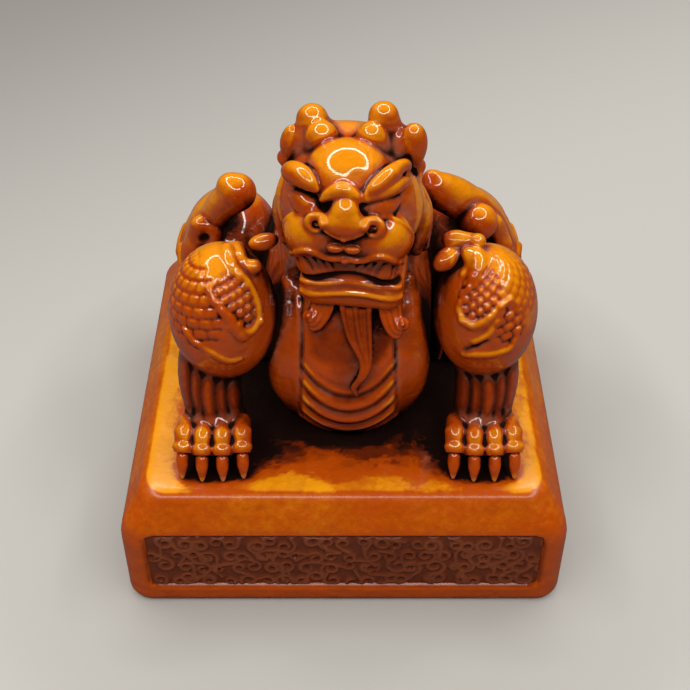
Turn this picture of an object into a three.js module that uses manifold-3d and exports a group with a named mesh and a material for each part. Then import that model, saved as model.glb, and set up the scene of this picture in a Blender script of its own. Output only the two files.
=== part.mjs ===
// Seal stone: a square plinth with four carved friezes and a crouching guardian beast as its knob.
// Millimetres. +Z is up, the beast faces -Y, the origin is the middle of the stamping face.
// Left and right are as seen from the front.

import * as THREE from "three";
import { mergeVertices } from "three/addons/utils/BufferGeometryUtils.js";
import Module from "manifold-3d";

const wasm = await Module();
wasm.setup();

// Plinth
const PLINTH_WIDTH = 72;
const PLINTH_CORNER_RADIUS = 4;
const FOOT_CHAMFER = 0.8;
const FOOT_STRIP_HEIGHT = 3.7;
const BEVEL_RISE = 6.1;
const BEVEL_RUN = 4;
const RIDGE_ROUNDING = 0.9;

// Friezes let into the four sides
const FRIEZE_HEIGHT = 12.5;
const FRIEZE_THICKNESS = 1.6;
const FRIEZE_RECESS = 0.3;
const FRIEZE_CORNER_RADIUS = 1.5;
const FRIEZE_END_MARGIN = 4.2;

// Clearance between neighbouring carved forms
const CARVED_GAP = 0.3;

// The beast stands a little to the right of the plinth's middle
const BEAST_ASIDE = 0.7;

// Torso: three stations from the chest to the rump, heights above the plinth top
const CHEST_FORWARD = 8;
const CHEST_HEIGHT = 14.5;
const CHEST_RADIUS = 12.6;
const LOIN_BACK = 5;
const LOIN_HEIGHT = 14.5;
const LOIN_RADIUS = 13.8;
const RUMP_BACK = 16;
const RUMP_HEIGHT = 13;
const RUMP_RADIUS = 13.6;

// Belly plate on the front of the chest
const BELLY_PLATE_WIDTH = 15.5;
const BELLY_PLATE_THICKNESS = 4;
const BELLY_PLATE_RISE = 1.2;
const BELLY_PLATE_TOP_ANGLE = 62;
const BELLY_PLATE_LOW_ANGLE = -66;

// Neck
const NECK_BASE_BACK = 2;
const NECK_BASE_HEIGHT = 21;
const NECK_BASE_RADIUS = 12.4;
const NECK_TOP_RADIUS = 9.6;

// Head: the skull's middle carries every form of the face
const HEAD_FORWARD = 7.5;
const CHIN_DIP = 1.1;
const HEAD_ASIDE = 0.2;
const HEAD_TURN = -8;
const SKULL_WIDTH = 21;
const SKULL_DEPTH = 18;
const SKULL_HEIGHT = 21;
const FOREHEAD_WIDTH = 14;
const FOREHEAD_DEPTH = 10;
const FOREHEAD_HEIGHT = 7.5;
const FOREHEAD_ELEVATION = 62;
const EYE_RADIUS = 2.3;
const EYE_AZIMUTH = 38;
const EYE_ELEVATION = 24;
const BROW_INNER_AZIMUTH = 19;
const BROW_INNER_ELEVATION = 36;
const BROW_OUTER_AZIMUTH = 78;
const BROW_OUTER_ELEVATION = 45;
const BROW_INNER_RADIUS = 1.3;
const BROW_OUTER_RADIUS = 2;
const BROW_LIFT = 0.7;
const MUZZLE_WIDTH = 18.5;
const MUZZLE_DEPTH = 13;
const MUZZLE_HEIGHT = 13;
const MUZZLE_FORWARD = 5.5;
const MUZZLE_DROP = 0.8;
const NOSE_RADIUS = 2.7;
const NOSE_ELEVATION = 52;
const NOSTRIL_RADIUS = 1.8;
const NOSTRIL_AZIMUTH = 31;
const NOSTRIL_ELEVATION = 36;
const LIP_RADIUS = 1.2;
const LIP_SPREAD_AZIMUTH = 60;
const LIP_ELEVATION = -22;
const LIP_ARCH = 12;
const LIP_STATIONS = 5;
const JAW_WIDTH = 17;
const JAW_DEPTH = 13;
const JAW_HEIGHT = 7;
const JAW_FORWARD = 5.2;
const JAW_DROP = 9;
const EAR_WIDTH = 4;
const EAR_DEPTH = 4.4;
const EAR_HEIGHT = 7;
const EAR_AZIMUTH = 112;
const EAR_ELEVATION = 40;
const EAR_LIFT = 1.4;
const HORN_BASE_SPREAD = 3.6;
const HORN_BASE_BACK = 1.6;
const HORN_STEM_RADIUS = 2.1;
const HORN_TIP_RADIUS = 2.2;
const HORN_RISE = 2;
const HORN_FRONT_REACH = 2.2;
const HORN_REAR_REACH = 3.2;
const HORN_REAR_SPLAY = 1.5;

// Mane lock on each side of the neck
const MANE_RADIUS = 3.6;
const MANE_TIP_RADIUS = 2;
const MANE_SPREAD = 11.5;
const MANE_BACK = 4;
const MANE_DROP = 9.5;

// Beard under the jaw and the curl on each side of it
const BEARD_ROOT_WIDTH = 5.4;
const BEARD_TIP_WIDTH = 1.2;
const BEARD_THICKNESS = 2.4;
const BEARD_SWAY = 1.6;
const BEARD_HIGH_ANGLE = 38;
const BEARD_TIP_ANGLE = -7;
const BEARD_CURL_REACH = 7.2;
const BEARD_CURL_DROP = 2;
const BEARD_CURL_RADIUS = 1.1;
const BEARD_BALL_RADIUS = 1.7;

// Shoulders and forelegs
const SHOULDER_OUT = 7.5;
const SHOULDER_FORWARD = 13.4;
const SHOULDER_CENTRE_HEIGHT = 22;
const SHOULDER_WIDTH = 16.6;
const SHOULDER_DEPTH = 18.4;
const SHOULDER_HEIGHT = 23;
const SCROLL_RING_RADIUS = 2.3;
const SCROLL_STEM_RADIUS = 1.4;
const SCROLL_BALL_RADIUS = 1.7;
const SCROLL_AZIMUTH = -80;
const SCROLL_ELEVATION = 60;
const SCROLL_LIFT = 1.2;
const SCROLL_TURN_FROM = -150;
const SCROLL_TURN_TO = 120;
const SCROLL_LEAN = 0.5;
const FORELEG_OUT = 1.5;
const FORELEG_FORWARD = 6.4;
const FORELEG_TOP_RADIUS = 5.4;
const FORELEG_FOOT_RADIUS = 4.8;
const KNEE_SHARE = 0.6;
const KNEE_OUT = 1.2;
const KNEE_BACK = 1.6;

// Raised lines on a shoulder, as azimuth outward from the front and elevation
const SHOULDER_RIM = [[-10, 68], [-46, 46], [-46, 18], [-18, 12], [2, 30], [20, 42]];
const SHOULDER_LOW_RIDGE = [[-22, -12], [8, -5], [36, 6]];
const SHOULDER_RIDGE_RADIUS = 1.1;

// Paws
const TOE_COUNT = 4;
const TOE_RADIUS = 1.65;
const TOE_PITCH = 2.9;
const TOE_HEIGHT = 4.4;
const TOE_REACH = 6.6;
const TOE_ROOT_BACK = 1.5;
const TOE_FAN = 4;
const TOE_END_RADIUS = 1.4;
const TOE_END_REACH = 1.4;
const TOE_END_HEIGHT = 3;
const CLAW_LENGTH = 2.2;
const CLAW_TIP_RADIUS = 0.45;
const PAW_PAD_WIDTH = 11.6;
const PAW_PAD_DEPTH = 11;
const PAW_PAD_HEIGHT = 8.8;

// Haunches, hind paws and the flames on the haunches
const HAUNCH_OUT = 7.2;
const HAUNCH_BACK = 16;
const HAUNCH_CENTRE_HEIGHT = 11.5;
const HAUNCH_WIDTH = 18.5;
const HAUNCH_DEPTH = 24;
const HAUNCH_HEIGHT = 24;
const FLAME_TIP_RADIUS = 3;
const FLAME_STEM_RADIUS = 2.2;
const FLAME_RISE = 18.4;
const FLAME_INWARD = { left: 2.6, right: 6 };
const FLAME_FORWARD = 7.8;
const FLAME_ROOT_OUT = 8.2;
const FLAME_ROOT_FORWARD = 2.6;
const FLAME_BULGE = { left: 2.1, right: 3.1 };
const FLAME_BENDS = [0.35, 0.66];
const TONGUE_COUNT = 3;
const TONGUE_AZIMUTH = 75;
const TONGUE_PITCH = 30;
const TONGUE_SWEEP = 35;
const TONGUE_HIGH = 34;
const TONGUE_LOW = -12;
const TONGUE_RADIUS = 1.5;
const HAUNCH_CURL_RADIUS = 3.3;
const HAUNCH_CURL_AZIMUTH = 20;
const HAUNCH_CURL_ELEVATION = 46;
const HIND_PAW_FORWARD = 9;

// Spine knobs and tail
const SPINE_RIDGE_RADIUS = 1.8;
const SPINE_KNOB_COUNT = 7;
const SPINE_KNOB_RADIUS = 1.9;
const SPINE_KNOB_RISE = 0.6;
const TAIL_ROOT_RADIUS = 3.4;
const TAIL_TIP_RADIUS = 1.8;
const TAIL_BACK = 2.2;
const TAIL_SWAY = 6;
const TAIL_TIP_HEIGHT = 27;

// Facets of a form, fewer where its half width is small
const SMALL_FORM = 2.8;
const FINE_FACETS = 14;
const FINE_RINGS = 8;
const FINE_DOME_RINGS = 3;
const SMALL_FACETS = 6;
const SMALL_RINGS = 4;
const SMALL_DOME_RINGS = 1;
const STEPS_PER_SPAN = 2;
const CURL_STATIONS = 4;
const CORNER_STEPS = 3;

const PLINTH_HEIGHT = FOOT_STRIP_HEIGHT + FRIEZE_HEIGHT + BEVEL_RISE;
const HEAD_HEIGHT = CHEST_HEIGHT + CHEST_RADIUS - CHIN_DIP + JAW_HEIGHT / 2 + JAW_DROP;
const HALF_WIDTH = PLINTH_WIDTH / 2;
const ACROSS = new THREE.Vector3(1, 0, 0);
const ALONG = new THREE.Vector3(0, 1, 0);
const SIDES = { left: -1, right: 1 };

const STONE = new THREE.MeshStandardMaterial({ color: 0xb85a10, roughness: 0.25, metalness: 0 });
STONE.name = "amber_stone";
const CARVED = new THREE.MeshStandardMaterial({ color: 0xa64d10, roughness: 0.3, metalness: 0 });
CARVED.name = "carved_stone";
const TINTED = new THREE.MeshStandardMaterial({ color: 0x6b3218, roughness: 0.55, metalness: 0 });
TINTED.name = "tinted_frieze";

const radians = THREE.MathUtils.degToRad;

function at(x, y, z) {
  return new THREE.Vector3(x, y, z);
}

// Evenly spaced values from one to another, both included.
function steps(from, to, count) {
  return Array.from({ length: count }, (_, i) => THREE.MathUtils.lerp(from, to, i / (count - 1)));
}

// A closed geometry as a solid that can be joined and cut.
function solidOf(geometry) {
  const bare = geometry.clone();
  bare.deleteAttribute("normal");
  bare.deleteAttribute("uv");
  const merged = mergeVertices(bare);
  return new wasm.Manifold(
    new wasm.Mesh({
      numProp: 3,
      vertProperties: new Float32Array(merged.attributes.position.array),
      triVerts: new Uint32Array(merged.index.array),
    }),
  );
}

// A solid as a flat shaded geometry.
function geometryOf(solid) {
  const mesh = solid.getMesh();
  const geometry = new THREE.BufferGeometry();
  geometry.setAttribute("position", new THREE.BufferAttribute(new Float32Array(mesh.vertProperties), 3));
  geometry.setIndex(new THREE.BufferAttribute(new Uint32Array(mesh.triVerts), 1));
  const faceted = geometry.toNonIndexed();
  faceted.computeVertexNormals();
  return faceted;
}

// Closed skin over stacked outlines that all have the same number of points, the lowest first.
function stacked(outlines) {
  const count = outlines[0].length;
  const index = [];
  for (let level = 0; level + 1 < outlines.length; level += 1) {
    for (let i = 0; i < count; i += 1) {
      const low = level * count + i;
      const lowNext = level * count + ((i + 1) % count);
      index.push(low, lowNext, lowNext + count, low, lowNext + count, low + count);
    }
  }
  const top = (outlines.length - 1) * count;
  for (const [a, b, c] of THREE.ShapeUtils.triangulateShape(outlines[0], [])) {
    index.push(a, c, b, top + a, top + b, top + c);
  }
  const geometry = new THREE.BufferGeometry().setFromPoints(outlines.flat());
  geometry.setIndex(index);
  return geometry;
}

// Outline of a square with rounded corners at one height.
function roundedSquare(half, radius, z) {
  const shape = new THREE.Shape();
  const inset = half - radius;
  shape.absarc(inset, inset, radius, 0, Math.PI / 2);
  shape.absarc(-inset, inset, radius, Math.PI / 2, Math.PI);
  shape.absarc(-inset, -inset, radius, Math.PI, Math.PI * 1.5);
  shape.absarc(inset, -inset, radius, Math.PI * 1.5, Math.PI * 2);
  const points = shape.getPoints(CORNER_STEPS);
  points.pop();
  return points.map((point) => at(point.x, point.y, z));
}

// Form of an ellipsoid: centre, half sizes and a lean about the X and Y axes.
function ball(centre, half, leanX = 0, leanY = 0) {
  return (grow) => {
    const small = Math.max(half.x, half.y, half.z) < SMALL_FORM;
    const facets = small ? SMALL_FACETS : FINE_FACETS;
    const geometry = new THREE.SphereGeometry(1, facets, small ? SMALL_RINGS : FINE_RINGS);
    geometry.rotateX(Math.PI / 2);
    geometry.scale(half.x + grow, half.y + grow, half.z + grow);
    geometry.rotateX(leanX);
    geometry.rotateY(leanY);
    geometry.translate(centre.x, centre.y, centre.z);
    return [geometry];
  };
}

// Form of a stem with domed ends along a curve through stations.
// The half width at each station lies along the side axis; thick is the other half size, as a share of it.
function stem(stations, halfWidths, side, thick = 1) {
  const path = new THREE.CatmullRomCurve3(stations);
  const spans = stations.length - 1;
  const last = spans * STEPS_PER_SPAN;
  const small = Math.max(...halfWidths) < SMALL_FORM;
  const facets = small ? SMALL_FACETS : FINE_FACETS;
  const domeRings = small ? SMALL_DOME_RINGS : FINE_DOME_RINGS;
  const ring = (share, dome, grow) => {
    const station = Math.min(Math.floor(share * spans), spans - 1);
    const along = share * spans - station;
    const half = THREE.MathUtils.lerp(halfWidths[station], halfWidths[station + 1], along);
    const tangent = path.getTangent(share);
    const wide = side.clone().addScaledVector(tangent, -side.dot(tangent)).normalize();
    const deep = tangent.clone().cross(wide);
    const reach = Math.min(half, half * thick) + grow;
    const middle = path.getPoint(share).addScaledVector(tangent, reach * Math.sin(dome));
    const points = [];
    for (let i = 0; i < facets; i += 1) {
      const angle = (i / facets) * Math.PI * 2;
      const point = middle.clone();
      point.addScaledVector(wide, (half + grow) * Math.cos(dome) * Math.cos(angle));
      point.addScaledVector(deep, (half * thick + grow) * Math.cos(dome) * Math.sin(angle));
      points.push(point);
    }
    return points;
  };
  return (grow) => {
    const rings = [];
    for (let i = 1; i <= domeRings; i += 1) {
      rings.push(ring(0, (-Math.PI / 2) * (1 - i / (domeRings + 1)), grow));
    }
    for (let i = 0; i <= last; i += 1) {
      rings.push(ring(i / last, 0, grow));
    }
    for (let i = domeRings; i >= 1; i -= 1) {
      rings.push(ring(1, (Math.PI / 2) * (1 - i / (domeRings + 1)), grow));
    }
    return [capped(rings)];
  };
}

// Closed skin over rings of points, each end closed by a fan.
function capped(rings) {
  const count = rings[0].length;
  const sumOf = (points) => points.reduce((sum, point) => sum.add(point), at(0, 0, 0));
  const middleOf = (points) => sumOf(points).divideScalar(count);
  const points = rings.flat();
  const first = points.length;
  points.push(middleOf(rings[0]), middleOf(rings[rings.length - 1]));
  const lastRing = (rings.length - 1) * count;
  const index = [];
  for (let i = 0; i < count; i += 1) {
    const next = (i + 1) % count;
    index.push(first, next, i, first + 1, lastRing + i, lastRing + next);
    for (let level = 0; level + 1 < rings.length; level += 1) {
      const low = level * count;
      index.push(low + i, low + next, low + count + next, low + i, low + count + next, low + count + i);
    }
  }
  const geometry = new THREE.BufferGeometry().setFromPoints(points);
  geometry.setIndex(index);
  return geometry;
}

// Several forms that make one piece.
function together(...forms) {
  return (grow) => forms.flatMap((form) => form(grow));
}

// Point on an ellipsoid by azimuth from the front, positive to the right, and elevation; lift raises it.
function seat(centre, half, azimuth, elevation, lift = 0) {
  const turn = radians(azimuth);
  const flat = Math.cos(radians(elevation));
  const away = at(flat * Math.sin(turn), -flat * Math.cos(turn), Math.sin(radians(elevation)));
  return away.clone().multiply(half).add(centre).addScaledVector(away, lift);
}

const part = new THREE.Group();
part.name = "seal_stone";
const beast = new THREE.Group();
beast.name = "beast";
beast.position.set(BEAST_ASIDE, 0, PLINTH_HEIGHT);
const head = new THREE.Group();
head.name = "head";
head.position.set(HEAD_ASIDE, -HEAD_FORWARD, HEAD_HEIGHT);
head.rotation.z = radians(HEAD_TURN);
beast.add(head);
part.add(beast);
part.updateMatrixWorld(true);

const carvedBefore = [];

// Everything under the plinth top, for trimming the forms that stand on it.
function belowPlinthTop() {
  const geometry = new THREE.BoxGeometry(PLINTH_WIDTH * 2, PLINTH_WIDTH * 2, PLINTH_WIDTH);
  geometry.translate(0, 0, PLINTH_HEIGHT - PLINTH_WIDTH / 2);
  return solidOf(geometry);
}

const ground = belowPlinthTop();

// Joins the pieces of a form, placed by its group, into one solid.
function joined(group, form, grow) {
  const solids = form(grow).map((geometry) => solidOf(geometry.applyMatrix4(group.matrixWorld)));
  return solids.reduce((whole, solid) => whole.add(solid));
}

// Whether the boxes of two solids meet.
function near(one, other) {
  const a = one.boundingBox();
  const b = other.boundingBox();
  return [0, 1, 2].every((axis) => a.min[axis] <= b.max[axis] && b.min[axis] <= a.max[axis]);
}

// The body with the most stone of a solid that may have been cut apart.
function mainBody(solid) {
  return solid.decompose().reduce((most, body) => (body.volume() > most.volume() ? body : most));
}

// Carves one named form: the forms carved before it keep their shape and leave a seat in it.
function carve(group, name, form) {
  const reach = joined(group, form, CARVED_GAP);
  let solid = joined(group, form, 0).subtract(ground);
  for (const earlier of carvedBefore) {
    if (near(solid, earlier)) {
      solid = solid.subtract(earlier);
    }
  }
  carvedBefore.push(reach);
  const geometry = geometryOf(mainBody(solid)).applyMatrix4(group.matrixWorld.clone().invert());
  const mesh = new THREE.Mesh(geometry, CARVED);
  mesh.name = name;
  group.add(mesh);
}

// Plinth with a pocket for each frieze
function frieze(grow, depth) {
  const halfLength = HALF_WIDTH - FRIEZE_END_MARGIN + grow;
  const halfHeight = FRIEZE_HEIGHT / 2 - CARVED_GAP + grow;
  const radius = FRIEZE_CORNER_RADIUS + grow;
  const shape = new THREE.Shape();
  shape.absarc(halfLength - radius, halfHeight - radius, radius, 0, Math.PI / 2);
  shape.absarc(radius - halfLength, halfHeight - radius, radius, Math.PI / 2, Math.PI);
  shape.absarc(radius - halfLength, radius - halfHeight, radius, Math.PI, Math.PI * 1.5);
  shape.absarc(halfLength - radius, radius - halfHeight, radius, Math.PI * 1.5, Math.PI * 2);
  const settings = { depth, bevelEnabled: false, curveSegments: CORNER_STEPS };
  const geometry = new THREE.ExtrudeGeometry(shape, settings);
  geometry.translate(0, 0, -depth);
  geometry.rotateX(Math.PI / 2);
  geometry.translate(0, -HALF_WIDTH, FOOT_STRIP_HEIGHT + FRIEZE_HEIGHT / 2);
  return geometry;
}

const bevelFoot = FOOT_STRIP_HEIGHT + FRIEZE_HEIGHT;
const ridgeHalf = HALF_WIDTH - BEVEL_RUN;
let plinthSolid = solidOf(
  stacked([
    roundedSquare(HALF_WIDTH - FOOT_CHAMFER, PLINTH_CORNER_RADIUS, 0),
    roundedSquare(HALF_WIDTH, PLINTH_CORNER_RADIUS, FOOT_CHAMFER),
    roundedSquare(HALF_WIDTH, PLINTH_CORNER_RADIUS, bevelFoot),
    roundedSquare(ridgeHalf + RIDGE_ROUNDING / 2, PLINTH_CORNER_RADIUS, PLINTH_HEIGHT - RIDGE_ROUNDING),
    roundedSquare(ridgeHalf - RIDGE_ROUNDING / 2, PLINTH_CORNER_RADIUS, PLINTH_HEIGHT),
  ]),
);
const turns = { front: 0, right: 1, back: 2, left: 3 };
for (const [name, quarter] of Object.entries(turns)) {
  const pocket = frieze(CARVED_GAP, FRIEZE_RECESS + FRIEZE_THICKNESS + CARVED_GAP);
  pocket.rotateZ((quarter * Math.PI) / 2);
  plinthSolid = plinthSolid.subtract(solidOf(pocket));
  const panel = frieze(0, FRIEZE_THICKNESS);
  panel.translate(0, FRIEZE_RECESS, 0);
  const mesh = new THREE.Mesh(panel, TINTED);
  mesh.name = "frieze_" + name;
  mesh.rotation.z = (quarter * Math.PI) / 2;
  part.add(mesh);
}
const plinth = new THREE.Mesh(geometryOf(plinthSolid), STONE);
plinth.name = "plinth";
part.add(plinth);

// Torso
const chest = at(0, -CHEST_FORWARD, CHEST_HEIGHT);
const loin = at(0, LOIN_BACK, LOIN_HEIGHT);
const rump = at(0, RUMP_BACK, RUMP_HEIGHT);
carve(beast, "torso", stem([chest, loin, rump], [CHEST_RADIUS, LOIN_RADIUS, RUMP_RADIUS], ACROSS));

// Belly plate over the front of the chest
const plateRadius = CHEST_RADIUS + BELLY_PLATE_RISE - BELLY_PLATE_THICKNESS / 2;
const platePath = steps(BELLY_PLATE_TOP_ANGLE, BELLY_PLATE_LOW_ANGLE, CURL_STATIONS).map((angle) => {
  const away = at(0, -Math.cos(radians(angle)), Math.sin(radians(angle)));
  return chest.clone().addScaledVector(away, plateRadius);
});
const plateHalf = BELLY_PLATE_WIDTH / 2;
carve(
  beast,
  "belly_plate",
  stem(platePath, platePath.map(() => plateHalf), ACROSS, BELLY_PLATE_THICKNESS / BELLY_PLATE_WIDTH),
);

// Shoulders and haunches
const shoulderHalf = at(SHOULDER_WIDTH / 2, SHOULDER_DEPTH / 2, SHOULDER_HEIGHT / 2);
const haunchHalf = at(HAUNCH_WIDTH / 2, HAUNCH_DEPTH / 2, HAUNCH_HEIGHT / 2);
const shoulderOut = CHEST_RADIUS + SHOULDER_OUT;
const shoulderAt = (sign) => at(sign * shoulderOut, -SHOULDER_FORWARD, SHOULDER_CENTRE_HEIGHT);
const haunchOut = RUMP_RADIUS + HAUNCH_OUT;
const haunchAt = (sign) => at(sign * haunchOut, HAUNCH_BACK, HAUNCH_CENTRE_HEIGHT);

// Raised line on an ellipsoid through places given as azimuth outward and elevation.
function raisedLine(centre, half, sign, places, radius) {
  const stations = places.map(([azimuth, elevation]) => seat(centre, half, sign * azimuth, elevation));
  return stem(stations, stations.map(() => radius), ALONG);
}

for (const [name, sign] of Object.entries(SIDES)) {
  const shoulder = shoulderAt(sign);
  const shoulderRidges = [SHOULDER_RIM, SHOULDER_LOW_RIDGE].map((places) =>
    raisedLine(shoulder, shoulderHalf, sign, places, SHOULDER_RIDGE_RADIUS),
  );
  carve(beast, "shoulder_" + name, together(ball(shoulder, shoulderHalf), ...shoulderRidges));
  const haunch = haunchAt(sign);
  const tongues = [];
  for (let i = 0; i < TONGUE_COUNT; i += 1) {
    const high = TONGUE_AZIMUTH + i * TONGUE_PITCH;
    const middle = [high - TONGUE_SWEEP / 2, (TONGUE_HIGH + TONGUE_LOW) / 2];
    const places = [[high, TONGUE_HIGH], middle, [high - TONGUE_SWEEP, TONGUE_LOW]];
    tongues.push(raisedLine(haunch, haunchHalf, sign, places, TONGUE_RADIUS));
  }
  carve(beast, "haunch_" + name, together(ball(haunch, haunchHalf), ...tongues));
}

// Head: eyes first, so that the skull is carved as their sockets
const skullMiddle = at(0, 0, 0);
const skullHalf = at(SKULL_WIDTH / 2, SKULL_DEPTH / 2, SKULL_HEIGHT / 2);
const muzzleMiddle = at(0, -MUZZLE_FORWARD, -MUZZLE_DROP);
const muzzleHalf = at(MUZZLE_WIDTH / 2, MUZZLE_DEPTH / 2, MUZZLE_HEIGHT / 2);
const jawMiddle = at(0, -JAW_FORWARD, -JAW_DROP);
const jawHalf = at(JAW_WIDTH / 2, JAW_DEPTH / 2, JAW_HEIGHT / 2);
const onSkull = (azimuth, elevation, lift) => seat(skullMiddle, skullHalf, azimuth, elevation, lift);
const onMuzzle = (azimuth, elevation, lift) => seat(muzzleMiddle, muzzleHalf, azimuth, elevation, lift);
for (const [name, sign] of Object.entries(SIDES)) {
  const eye = onSkull(sign * EYE_AZIMUTH, EYE_ELEVATION, 0);
  carve(head, "eye_" + name, ball(eye, at(EYE_RADIUS, EYE_RADIUS, EYE_RADIUS)));
}
carve(head, "skull", ball(skullMiddle, skullHalf));
carve(head, "muzzle", ball(muzzleMiddle, muzzleHalf));
carve(head, "jaw", ball(jawMiddle, jawHalf));
const foreheadHalf = at(FOREHEAD_WIDTH / 2, FOREHEAD_DEPTH / 2, FOREHEAD_HEIGHT / 2);
const foreheadMiddle = onSkull(0, FOREHEAD_ELEVATION, -FOREHEAD_HEIGHT / 4);
carve(head, "forehead", ball(foreheadMiddle, foreheadHalf, radians(90 - FOREHEAD_ELEVATION)));

// Nose with a wing on each side of its bulb
const noseTip = onMuzzle(0, NOSE_ELEVATION, NOSE_RADIUS / 2);
const wings = Object.values(SIDES).map((sign) =>
  stem(
    [noseTip, onMuzzle(sign * NOSTRIL_AZIMUTH, NOSTRIL_ELEVATION, 0)],
    [NOSTRIL_RADIUS, NOSTRIL_RADIUS],
    ALONG,
  ),
);
const bridge = stem([noseTip, onSkull(0, BROW_INNER_ELEVATION, 0)], [NOSE_RADIUS, NOSE_RADIUS / 2], ACROSS);
carve(head, "nose", together(bridge, ...wings));

// Upper lip: one arch on each side of the middle
const lipStations = steps(-1, 1, LIP_STATIONS).map((share, i) =>
  onMuzzle(share * LIP_SPREAD_AZIMUTH, LIP_ELEVATION + (i % 2) * LIP_ARCH, 0),
);
carve(head, "upper_lip", stem(lipStations, lipStations.map(() => LIP_RADIUS), at(0, 0, 1)));

// Brows, horns and ears
const hornRoot = (sign) => at(sign * HORN_BASE_SPREAD, HORN_BASE_BACK, SKULL_HEIGHT / 2 - HORN_STEM_RADIUS);
for (const [name, sign] of Object.entries(SIDES)) {
  const middleAzimuth = (BROW_INNER_AZIMUTH + BROW_OUTER_AZIMUTH) / 2;
  const middleElevation = (BROW_INNER_ELEVATION + BROW_OUTER_ELEVATION) / 2;
  const browStations = [
    onSkull(sign * BROW_INNER_AZIMUTH, BROW_INNER_ELEVATION, BROW_LIFT),
    onSkull(sign * middleAzimuth, middleElevation, BROW_LIFT),
    onSkull(sign * BROW_OUTER_AZIMUTH, BROW_OUTER_ELEVATION, BROW_LIFT),
  ];
  const browMiddleRadius = (BROW_INNER_RADIUS + BROW_OUTER_RADIUS) / 2;
  const browHalves = [BROW_INNER_RADIUS, browMiddleRadius, BROW_OUTER_RADIUS];
  carve(head, "brow_" + name, stem(browStations, browHalves, ALONG));
  const root = hornRoot(sign);
  const crown = root.clone().add(at(0, 0, HORN_STEM_RADIUS + HORN_RISE / 2));
  const frontTip = crown.clone().add(at(0, -HORN_FRONT_REACH, HORN_RISE / 2));
  const rearTip = crown.clone().add(at(sign * HORN_REAR_SPLAY, HORN_REAR_REACH, HORN_RISE));
  carve(
    head,
    "horn_" + name,
    together(
      stem([root, crown, frontTip], [HORN_STEM_RADIUS, HORN_STEM_RADIUS, HORN_TIP_RADIUS], ACROSS),
      stem([root, crown, rearTip], [HORN_STEM_RADIUS, HORN_STEM_RADIUS, HORN_TIP_RADIUS], ACROSS),
    ),
  );
  const earMiddle = onSkull(sign * EAR_AZIMUTH, EAR_ELEVATION, EAR_LIFT);
  carve(head, "ear_" + name, ball(earMiddle, at(EAR_WIDTH / 2, EAR_DEPTH / 2, EAR_HEIGHT / 2)));
}

// Neck between the torso and the head
const neckBase = at(0, NECK_BASE_BACK, NECK_BASE_HEIGHT);
carve(beast, "neck", stem([neckBase, head.position], [NECK_BASE_RADIUS, NECK_TOP_RADIUS], ACROSS));

// Beard hung from the jaw in front of the belly plate, and its curls
const beardRoot = jawMiddle.clone().add(at(0, -JAW_DEPTH / 4, -JAW_HEIGHT / 4));
const beardMiddleHalf = (BEARD_ROOT_WIDTH + BEARD_TIP_WIDTH) / 4;
const beardHalves = [BEARD_ROOT_WIDTH / 2, BEARD_ROOT_WIDTH / 2, beardMiddleHalf, BEARD_TIP_WIDTH / 2];
const beardThick = BEARD_THICKNESS / BEARD_ROOT_WIDTH;
const beardSways = [0, BEARD_SWAY / 2, BEARD_SWAY, BEARD_SWAY / 2];
const plateFront = CHEST_RADIUS + BELLY_PLATE_RISE + CARVED_GAP;
const beardAngles = steps(BEARD_HIGH_ANGLE, BEARD_TIP_ANGLE, beardHalves.length - 1);
const beardStations = [beardRoot.clone().applyEuler(head.rotation).add(head.position)];
beardAngles.forEach((angle, i) => {
  const away = at(0, -Math.cos(radians(angle)), Math.sin(radians(angle)));
  const reach = plateFront + beardHalves[i + 1] * beardThick;
  beardStations.push(chest.clone().addScaledVector(away, reach).add(at(beardSways[i + 1], 0, 0)));
});
carve(beast, "beard", stem(beardStations, beardHalves, ACROSS, beardThick));
for (const [name, sign] of Object.entries(SIDES)) {
  const curlRoot = beardRoot.clone().add(at((sign * BEARD_ROOT_WIDTH) / 2, 0, 0));
  const curlEnd = beardRoot.clone().add(at(sign * BEARD_CURL_REACH, 0, -BEARD_CURL_DROP));
  const curlDip = beardRoot.clone().add(at((sign * BEARD_CURL_REACH) / 2, 0, -BEARD_CURL_DROP * 2));
  carve(
    head,
    "beard_curl_" + name,
    together(
      stem([curlRoot, curlDip, curlEnd], [BEARD_CURL_RADIUS, BEARD_CURL_RADIUS, BEARD_CURL_RADIUS], ALONG),
      ball(curlEnd, at(BEARD_BALL_RADIUS, BEARD_BALL_RADIUS, BEARD_BALL_RADIUS)),
    ),
  );
}

// Mane locks, shoulder scrolls, forelegs and paws
function paw(ankle) {
  const toes = [ball(ankle, at(PAW_PAD_WIDTH / 2, PAW_PAD_DEPTH / 2, PAW_PAD_HEIGHT / 2))];
  for (let i = 0; i < TOE_COUNT; i += 1) {
    const place = i - (TOE_COUNT - 1) / 2;
    const fan = radians(place * TOE_FAN);
    const forward = at(Math.sin(fan), -Math.cos(fan), 0);
    const root = ankle.clone().add(at(place * TOE_PITCH, TOE_ROOT_BACK, 0));
    const knuckle = root.clone().addScaledVector(forward, TOE_REACH);
    const toeEnd = knuckle.clone().addScaledVector(forward, TOE_END_REACH).setZ(TOE_END_HEIGHT);
    const clawTip = toeEnd.clone().addScaledVector(forward, CLAW_LENGTH).setZ(CLAW_TIP_RADIUS);
    const halves = [TOE_RADIUS, TOE_RADIUS, TOE_END_RADIUS, CLAW_TIP_RADIUS];
    toes.push(stem([root, knuckle, toeEnd, clawTip], halves, ACROSS));
  }
  return together(...toes);
}

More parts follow.
